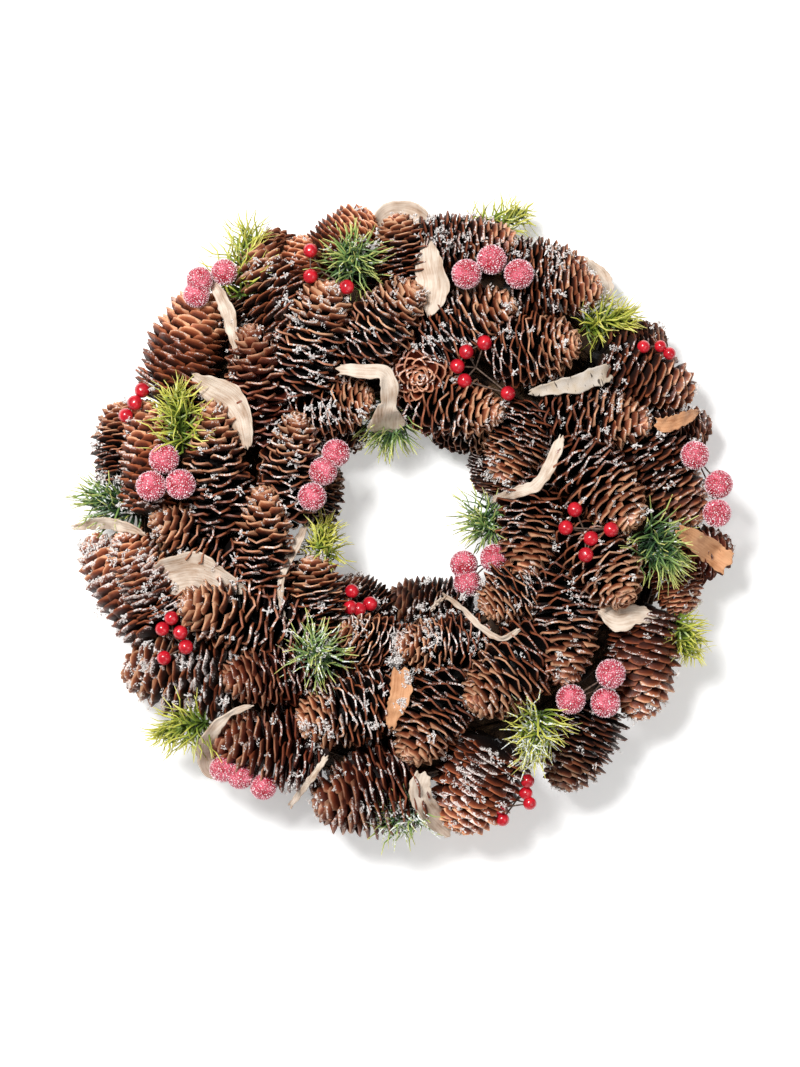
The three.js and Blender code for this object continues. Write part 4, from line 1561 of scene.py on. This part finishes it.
@dataclass
class SnowTufts:
    """Thicker tufts of the same flock, lying on whatever shows at their places on the front."""

    snow: Snow
    seed: int = 61
    most_layers: int = 8
    layer_step: float = 0.01
    size_share: float = 0.8
    pile: float = 0.04

    def surface(self, x: float, y: float) -> Vector | None:
        """The first point of the finished pieces that shows at a place on the front.

        Args:
            x: Millimetres to the right of the ring's middle.
            y: Millimetres above the ring's middle.

        Returns:
            The point in metres, or nothing where the floor shows.
        """
        scene = bpy.context.scene
        layers = bpy.context.evaluated_depsgraph_get()
        passed = {cad.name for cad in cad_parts.values()} | {model.name for model in self.snow.models}
        start = MIDDLE + Vector((SEEN_X, SEEN_Y, SEEN_FROM + SEEN_HEIGHT)) * MM
        aim = (placed(x, y, 0.0) - start).normalized()
        for _ in range(self.most_layers):
            hit, place, _, _, found, _ = scene.ray_cast(layers, start, aim)
            if not hit or found.name == FLOOR_NAME:
                return None
            if found.name not in passed:
                return place
            start = place + aim * self.layer_step * MM
        return None

    def build(self) -> None:
        """Lays the tufts."""
        rng = random.Random(self.seed)
        clumps = []
        for x, y, spread, count in TUFTS:
            for _ in range(count):
                place = self.surface(x + rng.gauss(0, spread), y + rng.gauss(0, spread))
                if place is None:
                    continue
                size = rng.uniform(self.snow.smallest, self.snow.largest) * self.size_share * MM
                place.z += rng.uniform(0.0, self.pile * count) * MM
                clumps.append(self.snow.clump_at(place, size, rng))
        finish_piece(join(clumps, "snow_tufts"), "cone", finish=FlockSnow())


@dataclass
class BerryPicks:
    """Picks of berries, each berry at the place of the CAD node's berry, with their wires.

    The wires are in mm: they meet a drop below the berries, bow up between, and sag from berry to berry.
    """

    kind: str
    rows: list[tuple]
    finishes: tuple[Finish, ...]
    seed: int
    nudge: float = 0.6
    rounds: int = 3
    wire_radius: float = 0.45
    wire_drop: float = 4.0
    wire_bow: float = 0.3
    wire_sag: float = 1.2
    models: list[Piece] = field(default_factory=list)

    def make_models(self, rng: random.Random) -> None:
        """Models what a berry is made of, with a radius of one."""
        raise NotImplementedError

    def choose(self, centre: Vector, radius: float, rng: random.Random) -> tuple[list[Piece], Matrix]:
        """Gives the models of one berry, one a finish, and its place."""
        raise NotImplementedError

    def centres(self, node: str, places: list[Span]) -> list[Vector]:
        """The middles of a node's berries, found among its points from where each shows on the front.

        Args:
            node: The CAD node.
            places: Where its berries show on the front.

        Returns:
            The middles in metres.
        """
        points = points_of(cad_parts[node])
        low, high = (np.array(corner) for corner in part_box(node))
        level = (low[2] + high[2]) / 2 / MM
        guesses = np.array([list(placed(x, y, level - crown_height(x, y))) for x, y in places])
        guesses += (low + high) / 2 - (guesses.min(axis=0) + guesses.max(axis=0)) / 2
        for _ in range(self.rounds):
            apart = np.linalg.norm(points[:, None, :] - guesses[None, :, :], axis=2)
            nearest = apart.argmin(axis=1)
            for i in range(len(guesses)):
                own = points[nearest == i]
                if len(own):
                    guesses[i] = (own.min(axis=0) + own.max(axis=0)) / 2
        return [self.nudged(Vector(guess), place) for guess, place in zip(guesses, places)]

    def nudged(self, centre: Vector, place: Span) -> Vector:
        """Moves a berry's middle most of the way to where it shows on the front.

        Args:
            centre: The middle in metres.
            place: Where it shows.

        Returns:
            The moved middle.
        """
        rise = centre.z / MM - crown_height(*place)
        shown = placed(*place, rise)
        return centre + Vector((shown.x - centre.x, shown.y - centre.y, 0)) * self.nudge

    def wires(self, centres: list[Vector], radius: float) -> Piece:
        """Wires from each berry of a pick down to where they are twisted together.

        Args:
            centres: The berries' middles.
            radius: The berries' radius in mm.

        Returns:
            The wires.
        """
        meet = sum(centres, Vector()) / len(centres) - Vector((0, 0, (radius + self.wire_drop) * MM))
        paths = []
        for centre in centres:
            middle = centre.lerp(meet, 0.5) + Vector((0, 0, radius * self.wire_bow * MM))
            paths.append([centre, middle, meet])
        for before, after in zip(centres, centres[1:]):
            paths.append([before, before.lerp(after, 0.5) - Vector((0, 0, self.wire_sag * MM)), after])
        wires = tubes(paths, [self.wire_radius * MM] * len(paths))
        FloristWire().dress(wires)
        return wires

    def build(self) -> None:
        """Makes every pick from copies of the models."""
        rng = random.Random(self.seed)
        self.make_models(rng)
        for hour, radius, places, higher in self.rows:
            node = f"{self.kind}_berries_{hour}"
            centres = [centre + Vector((0, 0, higher * MM)) for centre in self.centres(node, places)]
            parts = []
            for centre in centres:
                models, place = self.choose(centre, radius, rng)
                for model, finish in zip(models, self.finishes):
                    part = copied(model, place)
                    finish.dress(part)
                    parts.append(part)
            parts.append(self.wires(centres, radius))
            finish_piece(join(parts, f"{self.kind}_pick_{hour}"), f"{self.kind}_berry", node)
        remove(self.models)


@dataclass
class FrostedBerries(BerryPicks):
    """Frosted berries: a red ball, a little uneven from dipping, under a coat of clear grains."""

    kind: str = "frosted"
    rows: list[tuple] = field(default_factory=lambda: FROSTED_PICKS)
    finishes: tuple[Finish, ...] = (SugaredBerry(), SugarGrain())
    seed: int = 11
    coats: int = 3
    ball: float = 0.97
    uneven: float = 0.02
    waves: tuple[float, float, float] = (7, 5, 6)
    wave_start: float = 12.0
    grains: int = 520
    grain_size: float = 0.0525
    size_variety: Span = (0.45, 1.3)
    width_variety: Span = (0.6, 1.1)
    length_variety: Span = (0.8, 1.5)
    grain_scatter: float = 0.07
    grain_slant: float = 0.8
    turned_about: Vector = field(default_factory=lambda: Vector((1, 2, 3)).normalized())

    def ball_model(self) -> Piece:
        """The ball, of radius one with its coat.

        Returns:
            The ball.
        """
        ball = added(bpy.ops.mesh.primitive_ico_sphere_add, subdivisions=4, radius=self.ball)
        points = points_of(ball)
        for point in points:
            a, b, c = point * self.waves
            point *= 1 + self.uneven * math.sin(a + b) * math.cos(c + self.wave_start)
        move_points(ball, points)
        smooth(ball)
        return ball

    def grain_coat(self, name: str, rng: random.Random) -> Piece:
        """The coat of grains on a ball of radius one.

        Args:
            name: The model's name.
            rng: The random generator.

        Returns:
            The grains as one mesh.
        """
        grain = added(bpy.ops.mesh.primitive_cone_add, vertices=4, radius1=1.0, depth=2.0)
        grains = []
        for i in range(self.grains):
            height = 1 - 2 * (i + 0.5) / self.grains
            flat = math.sqrt(1 - height * height)
            out = Vector((flat * math.cos(i * GOLDEN_ANGLE), flat * math.sin(i * GOLDEN_ANGLE), height))
            out += Vector([rng.uniform(-self.grain_scatter, self.grain_scatter) for _ in range(3)])
            out.normalize()
            size = self.grain_size * rng.uniform(*self.size_variety)
            width = size * rng.uniform(*self.width_variety)
            scale = Vector((size, width, size * rng.uniform(*self.length_variety)))
            lean = out + Vector([rng.uniform(-self.grain_slant, self.grain_slant) for _ in range(3)])
            grains.append(copied(grain, stand_along(out, out + lean, rng.uniform(0, math.tau), scale)))
        coat = join(grains, name)
        remove([grain])
        return coat

    def make_models(self, rng: random.Random) -> None:
        """Models the ball and its coats."""
        coats = [self.grain_coat(f"coat_model_{number}", rng) for number in range(self.coats)]
        self.models = [self.ball_model(), *coats]

    def choose(self, centre: Vector, radius: float, rng: random.Random) -> tuple[list[Piece], Matrix]:
        """Gives the ball and a coat, turned anyhow.

        Args:
            centre: The berry's middle.
            radius: Its radius in mm.
            rng: The random generator.

        Returns:
            The models and their place.
        """
        ball, *coats = self.models
        coat = rng.choice(coats)
        turn = Matrix.Rotation(rng.uniform(0, math.tau), 4, self.turned_about)
        return [ball, coat], Matrix.Translation(centre) @ turn @ Matrix.Scale(radius * MM, 4)


@dataclass
class RedBerries(BerryPicks):
    """Small glossy berries with a dimple at the top."""

    kind: str = "red"
    rows: list[tuple] = field(default_factory=lambda: RED_PICKS)
    finishes: tuple[Finish, ...] = (LacqueredBerry(),)
    seed: int = 17
    dimple: float = 0.06
    dimple_height: float = 0.1
    slant: float = 0.6
    size_variety: Span = (0.95, 1.02)
    tall: float = 1.03

    def make_models(self, rng: random.Random) -> None:
        """Models the berry.

        Args:
            rng: The random generator; not used.
        """
        berry = added(bpy.ops.mesh.primitive_uv_sphere_add, segments=24, ring_count=16, radius=1.0)
        points = points_of(berry)
        for point in points:
            near = max(0.0, point[2] - (1.0 - self.dimple_height)) / self.dimple_height
            point[2] -= self.dimple * near
        move_points(berry, points)
        smooth(berry)
        self.models = [berry]

    def choose(self, centre: Vector, radius: float, rng: random.Random) -> tuple[list[Piece], Matrix]:
        """Gives the berry, leaning a little to any side.

        Args:
            centre: The berry's middle.
            radius: Its radius in mm.
            rng: The random generator.

        Returns:
            The model and its place.
        """
        lean = Vector((rng.uniform(-self.slant, self.slant), rng.uniform(-self.slant, self.slant), 1))
        size = radius * rng.uniform(*self.size_variety) * MM
        place = stand_along(centre, centre + lean, 0.0, Vector((size, size, size * self.tall)))
        return self.models, place


@dataclass
class NeedleSprigs:
    """Sprigs of plastic needles: a short stem with many fine curved needles.

    A needle's bends, sway and taper are shares of its length and width. Its angle from the stem goes from
    the widest at the stem's base to the narrowest at its tip, in degrees.
    """

    first_seed: int = 40
    needles: int = 140
    needle_radius: float = 0.62
    needle_length: float = 17.0
    needle_growth: float = 1.18
    cuts: tuple[float, ...] = (0.28, 0.52, 0.76)
    bends: tuple[float, ...] = (0.2, 0.45, 0.75)
    sway: float = 0.4
    sway_turns: float = 5.0
    taper: float = 0.7
    widest: float = 84.0
    narrowest: float = 14.0
    angle_variety: float = 12.0
    side_variety: float = 0.3
    lowest_root: float = 0.05
    rooted: float = 0.9
    shorter_at_tip: float = 0.25
    length_variety: Span = (0.7, 1.1)
    width_variety: Span = (0.75, 1.15)
    snow_strength: float = 0.7
    snowed: float = 0.6
    least_frost: Span = (0.2, 0.34)
    stem_radius: float = 0.9
    stem_shade: float = 0.1

    def needle_model(self, bend: float) -> Piece:
        """One needle standing on +Z with length one, tapered and bent towards +X.

        Args:
            bend: How far its tip bends, as a share of its length.

        Returns:
            The needle.
        """
        needle = cut_column(4, self.cuts)
        thin = self.needle_radius / self.needle_length
        points = points_of(needle)
        for point in points:
            along = point[2]
            point[:2] *= 1.0 - self.taper * along**3
            point[0] += bend * along * along / thin
            point[1] += bend * self.sway * math.sin(along * self.sway_turns) / thin
        move_points(needle, points)
        set_values(needle, "along", points_of(needle)[:, 2])
        smooth(needle)
        return needle

    def sprig(self, models: list[Piece], row: tuple, seed: int) -> None:
        """Makes one sprig, seated at the height of its CAD node.

        Args:
            models: The needles.
            row: The sprig's row of the table.
            seed: The random seed.
        """
        hour, colour, bx, by, br, tx, ty, tr, length, snow, higher = row
        rng = random.Random(seed)
        base = placed(bx, by, br)
        tip = placed(tx, ty, tr)
        turn = (tip - base).normalized().to_track_quat("Z", "Y")
        parts = []
        for i in range(self.needles):
            share = i / (self.needles - 1)
            side = i * GOLDEN_ANGLE + rng.uniform(-self.side_variety, self.side_variety)
            angle = self.widest + (self.narrowest - self.widest) * share
            angle = math.radians(angle + rng.uniform(-self.angle_variety, self.angle_variety))
            away = math.sin(angle)
            way = Vector((away * math.cos(side), away * math.sin(side), math.cos(angle)))
            way.rotate(turn)
            root = base.lerp(tip, self.lowest_root + self.rooted * share)
            reach = length * self.needle_growth * rng.uniform(*self.length_variety)
            reach *= 1.0 - self.shorter_at_tip * share
            thick = self.needle_radius * rng.uniform(*self.width_variety)
            scale = Vector((thick, thick, reach)) * MM
            part = copied(rng.choice(models), stand_along(root, root + way, rng.uniform(0, math.tau), scale))
            is_snowed = rng.random() < self.snowed
            set_values(part, "frost", snow * self.snow_strength * is_snowed + rng.uniform(*self.least_frost))
            parts.append(part)
        stem = tubes([[base, base.lerp(tip, 0.5), tip]], [self.stem_radius * MM])
        set_values(stem, "along", self.stem_shade)
        set_values(stem, "frost", 0.0)
        piece = join([*parts, stem], f"needle_sprig_{hour}")
        node = f"sprig_{hour}"
        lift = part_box(node)[1][2] - points_of(piece)[:, 2].max() + higher * MM
        piece.data.transform(Matrix.Translation((0, 0, lift)))
        finish_piece(piece, colour.value, node, finish=NEEDLE_FINISHES[colour])

    def build(self) -> None:
        """Makes every sprig."""
        models = [self.needle_model(bend) for bend in self.bends]
        for number, row in enumerate(SPRIGS):
            self.sprig(models, row, self.first_seed + number)
        remove(models)


@dataclass
class BarkSheets:
    """Curled pieces of peeled birch bark.

    The thickness, raggedness and ripple are in mm and the curl in degrees. The others are turns in radians
    a step along the strip, or from its middle line to its edge.
    """

    first_seed: int = 70
    first_sliver: int = 30
    steps: int = 28
    across: int = 8
    thickness: float = 1.0
    curl: float = 34.0
    least_curl: float = 0.6
    more_curl: float = 0.4
    curl_turn: float = 0.35
    ragged: float = 0.9
    ragged_end: float = 2.0
    end_turn: float = 5.0
    ripple: float = 0.5
    ripple_turn: float = 0.9
    ripple_across: float = 2.4
    turned: tuple[str, ...] = ("2",)

    def rows_between(self, rows: StripRows) -> list[tuple[Vector, float]]:
        """Smooth points with widths through a strip's rows.

        Args:
            rows: Points of x, y, rise and width in mm.

        Returns:
            Points in metres with widths in mm.
        """
        places = [placed(x, y, rise) for x, y, rise, _ in rows]
        widths = [width for *_, width in rows]
        last = len(rows) - 1
        found = []
        for share in np.linspace(0, 1, self.steps + 1):
            here = share * last
            i = min(int(here), last - 1)
            t = here - i
            a, b = places[i], places[i + 1]
            slope_a = (b - places[max(0, i - 1)]) * 0.5
            slope_b = (places[min(last, i + 2)] - a) * 0.5
            point = (
                a * (2 * t**3 - 3 * t**2 + 1)
                + slope_a * (t**3 - 2 * t**2 + t)
                + b * (3 * t**2 - 2 * t**3)
                + slope_b * (t**3 - t**2)
            )
            found.append((point, float(np.interp(share, np.linspace(0, 1, last + 1), widths))))
        return found

    def bent_sheet(self, colour: Bark, lean: float, rows: StripRows, number: int) -> Piece:
        """A curled, ragged sheet along its rows, a wall thick.

        Args:
            colour: The colour of its inner side.
            lean: The lean of its width in degrees.
            rows: Points of x, y, rise and width in mm.
            number: The sheet's number, which its random shape follows.

        Returns:
            The sheet.
        """
        rng = random.Random(self.first_seed + number)
        operator = bpy.ops.mesh.primitive_grid_add
        sheet = added(operator, x_subdivisions=self.steps, y_subdivisions=self.across, size=1.0)
        middle = self.rows_between(rows)
        jags = {(i, end): rng.uniform(-1, 1) for i in range(self.steps + 1) for end in (-1, 1)}
        waves = [rng.uniform(0, math.tau) for _ in range(2)]
        points = points_of(sheet)
        shaped = np.empty_like(points)
        marks = np.empty((len(points), 2))
        total = sum((b[0] - a[0]).length for a, b in zip(middle, middle[1:]))
        for k, (x, y, _) in enumerate(points):
            i = round((x + 0.5) * self.steps)
            side = y * 2
            centre, width = middle[i]
            after = middle[min(i + 1, self.steps)][0]
            before = middle[max(i - 1, 0)][0]
            along = (after - before).normalized()
            flat = Vector((0, 0, 1)).cross(along).normalized()
            flat.rotate(Matrix.Rotation(math.radians(lean), 3, along))
            out = along.cross(flat)
            half = width / 2 + self.ragged * jags[(i, 1 if side > 0 else -1)] * abs(side) ** 3
            curl = self.least_curl + self.more_curl * math.sin(i * self.curl_turn + number)
            bent = math.radians(self.curl) * curl
            reach = math.sin(side * bent) / bent * half
            rise = (1 - math.cos(side * bent)) / bent * half
            ripple = self.ripple * math.sin(i * self.ripple_turn + waves[0])
            rise += ripple * math.sin(side * self.ripple_across + waves[1])
            is_end = i in (0, self.steps)
            shift = self.ragged * math.sin(side * self.end_turn + number) * is_end * self.ragged_end
            shaped[k] = centre + (flat * reach + out * rise + along * shift) * MM
            marks[k] = ((x + 0.5) * total / (STRIP_UNIT * MM), side * half / STRIP_UNIT)
        move_points(sheet, shaped)
        self.write_strip(sheet, marks)
        sheet.data.materials.append(INSIDE_FINISHES[colour].build())
        sheet.data.materials.append(BirchOutside().build())
        thicken(sheet, self.thickness * MM, rounded=True)
        smooth(sheet)
        return sheet

    def write_strip(self, sheet: Piece, marks: np.ndarray) -> None:
        """Stores each point's place along and across the strip as its UV map.

        Args:
            sheet: The sheet.
            marks: The places, in units of STRIP_UNIT mm.
        """
        for layer in list(sheet.data.uv_layers):
            sheet.data.uv_layers.remove(layer)
        layer = sheet.data.uv_layers.new(name=STRIP_MAP)
        corners = np.empty(len(sheet.data.loops), dtype=np.int32)
        sheet.data.loops.foreach_get("vertex_index", corners)
        layer.data.foreach_set("uv", marks[corners].astype(np.float32).ravel())

    def build(self) -> None:
        """Makes every piece of bark, seated at the height of its CAD node, and the slivers."""
        for number, (name, colour, lean, deeper, rows) in enumerate(BARK):
            sheet = self.bent_sheet(colour, lean, rows, number)
            sheet.name = f"bark_sheet_{name}"
            sides = sheet.data.materials
            if name in self.turned:
                sides[0], sides[1] = sides[1], sides[0]
            node = f"bark_{name}"
            low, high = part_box(node)
            heights = points_of(sheet)[:, 2]
            lift = (low[2] + high[2]) / 2 - (heights.min() + heights.max()) / 2 - deeper * MM
            sheet.data.transform(Matrix.Translation((0, 0, lift)))
            finish_piece(sheet, colour.value, node)
        for number, (name, lean, rows) in enumerate(SLIVERS):
            sliver = self.bent_sheet(Bark.PALE, lean, rows, self.first_sliver + number)
            sliver.name = f"bark_sliver_{name}"
            finish_piece(sliver, Bark.PALE.value)


@dataclass
class TwigRing:
    """The flat-backed ring of twigs and straw under the cones, in mm.

    A strand goes some degrees round the ring, drifts round its section by up to an angle in radians, wavers
    a little, and lies somewhat in or on the bed.
    """

    seed: int = 23
    radius: float = 108.0
    half_width: float = 40.0
    height: float = 23.0
    over_floor: float = 1.2
    rounds: int = 120
    sides: int = 20
    sunk: float = 1.6
    strands: int = 190
    strand_steps: int = 9
    strand_radius: float = 1.35
    radius_variety: Span = (0.6, 1.3)
    strand_degrees: Span = (30, 80)
    strand_drift: float = 0.9
    strand_waver: float = 0.06
    strand_depth: Span = (-0.9, 1.0)

    def point(self, around: float, angle: float, grown: float) -> Vector:
        """A point of the ring's surface.

        Args:
            around: The angle round the ring.
            angle: The angle round its section.
            grown: How far out from the surface, in mm.

        Returns:
            The point in metres.
        """
        reach = self.radius + (self.half_width + grown) * math.cos(angle)
        up = self.height / 2 + (self.height / 2 + grown) * math.sin(angle)
        flat = Vector((reach * math.cos(around), reach * math.sin(around), max(up, self.over_floor)))
        return flat * MM + MIDDLE

    def bed(self, rng: random.Random) -> Piece:
        """The solid bed of straw.

        Args:
            rng: The random generator.

        Returns:
            The bed.
        """
        counts = {"major_segments": self.rounds, "minor_segments": self.sides}
        bed = added(bpy.ops.mesh.primitive_torus_add, **counts, major_radius=1.0, minor_radius=0.25)
        points = points_of(bed)
        for point in points:
            around = math.atan2(point[1], point[0])
            angle = math.atan2(point[2], math.hypot(point[0], point[1]) - 1.0)
            point[:] = self.point(around, angle, rng.uniform(-self.sunk, 0.0))
        move_points(bed, points)
        smooth(bed)
        return bed

    def strand(self, rng: random.Random) -> list[Vector]:
        """The path of one strand.

        Args:
            rng: The random generator.

        Returns:
            Its points in metres.
        """
        start = rng.uniform(0, math.tau)
        reach = math.radians(rng.uniform(*self.strand_degrees))
        angle = rng.uniform(0, math.tau)
        drift = rng.uniform(-self.strand_drift, self.strand_drift)
        grown = rng.uniform(*self.strand_depth)
        path = []
        for i in range(self.strand_steps + 1):
            here = angle + drift * i / self.strand_steps + rng.uniform(-self.strand_waver, self.strand_waver)
            path.append(self.point(start + reach * i / self.strand_steps, here, grown))
        return path

    def build(self) -> None:
        """Makes the bed and the strands laid along it."""
        rng = random.Random(self.seed)
        bed = self.bed(rng)
        paths = []
        radii = []
        for _ in range(self.strands):
            paths.append(self.strand(rng))
            radii.append(self.strand_radius * rng.uniform(*self.radius_variety) * MM)
        strands = tubes(paths, radii)
        keep_above(strands, 0.0)
        finish_piece(join([bed, strands], "twig_ring"), "twig", "base_ring", finish=DryTwig())


@dataclass
class Studio:
    """Plain pale floor, soft lights and the camera at the photograph's angle.

    A lamp is its name, its place in metres, its side in metres and its power in watts.
    """

    floor_size: float = 30.0
    focal: float = 135.0
    sensor: float = 36.0
    farthest: float = 100.0
    sky: float = 0.2
    lamps: tuple[tuple, ...] = (
        ("key", (-0.7, 0.8, 2.0), 0.6, 64.0),
        ("fill", (1.4, -0.6, 1.8), 1.4, 12.0),
        ("low", (0.2, -2.2, 0.9), 1.4, 6.0),
    )

    def floor(self) -> None:
        """Lays the floor at the height that the wreath rests on."""
        place = (0, 0, CAD_BOX[0][2])
        floor = added(bpy.ops.mesh.primitive_plane_add, size=self.floor_size, location=place)
        floor.name = FLOOR_NAME
        PalePaper().dress(floor)

    def lights(self) -> None:
        """Lights the wreath softly from all round, a little more from the top left."""
        for name, place, size, watts in self.lamps:
            lamp = bpy.data.lights.new(name, "AREA")
            lamp.size = size
            lamp.energy = watts
            stand = bpy.data.objects.new(name, lamp)
            bpy.context.scene.collection.objects.link(stand)
            stand.location = place
            stand.rotation_euler = (-Vector(place)).to_track_quat("-Z", "Y").to_euler()
        world = bpy.data.worlds.new("studio")
        bpy.context.scene.world = world
        world.use_nodes = True
        background = next(node for node in world.node_tree.nodes if node.type == "BACKGROUND")
        background.inputs["Color"].default_value = (1.0, 1.0, 1.0, 1.0)
        background.inputs["Strength"].default_value = self.sky

    def camera(self) -> None:
        """Looks straight down on the front."""
        view = bpy.data.cameras.new("camera")
        view.lens = self.focal
        view.sensor_width = self.sensor
        view.clip_end = self.farthest
        stand = bpy.data.objects.new("camera", view)
        bpy.context.scene.collection.objects.link(stand)
        stand.location = MIDDLE + Vector((SEEN_X, SEEN_Y, SEEN_HEIGHT + SEEN_FROM)) * MM
        bpy.context.scene.camera = stand

    def build(self) -> None:
        """Sets up the studio."""
        self.floor()
        self.lights()
        self.camera()
        bpy.context.scene.view_settings.view_transform = "Standard"


def main() -> None:
    """Builds the wreath piece by piece."""
    Studio().build()
    TwigRing().build()
    opened = ConeModels()
    opened.build()
    closed = ConeModels(
        variants=3,
        scale_count=136,
        scale_width=11.8,
        blunt_from=0.2,
        opening=((0.0, 84.0), (0.2, 72.0), (0.5, 62.0), (0.8, 53.0), (0.9, 45.0), (1.0, 6.0)),
        # Painted shade: how fast the closed cones' colour darkens from each scale's rim towards its root.
        shade_fall=((0.0, 1.1), (0.3, 0.75), (0.6, 0.5), (1.0, 0.3)),
    )
    closed.build()
    snow = Snow()
    snow.build()
    ConeBunches(opened, closed).build(snow)
    remove([*opened.models, *closed.models])
    BarkSheets().build()
    FrostedBerries().build()
    RedBerries().build()
    NeedleSprigs().build()
    SnowTufts(snow).build()
    remove(snow.models)


if __name__ == "__main__":
    main()
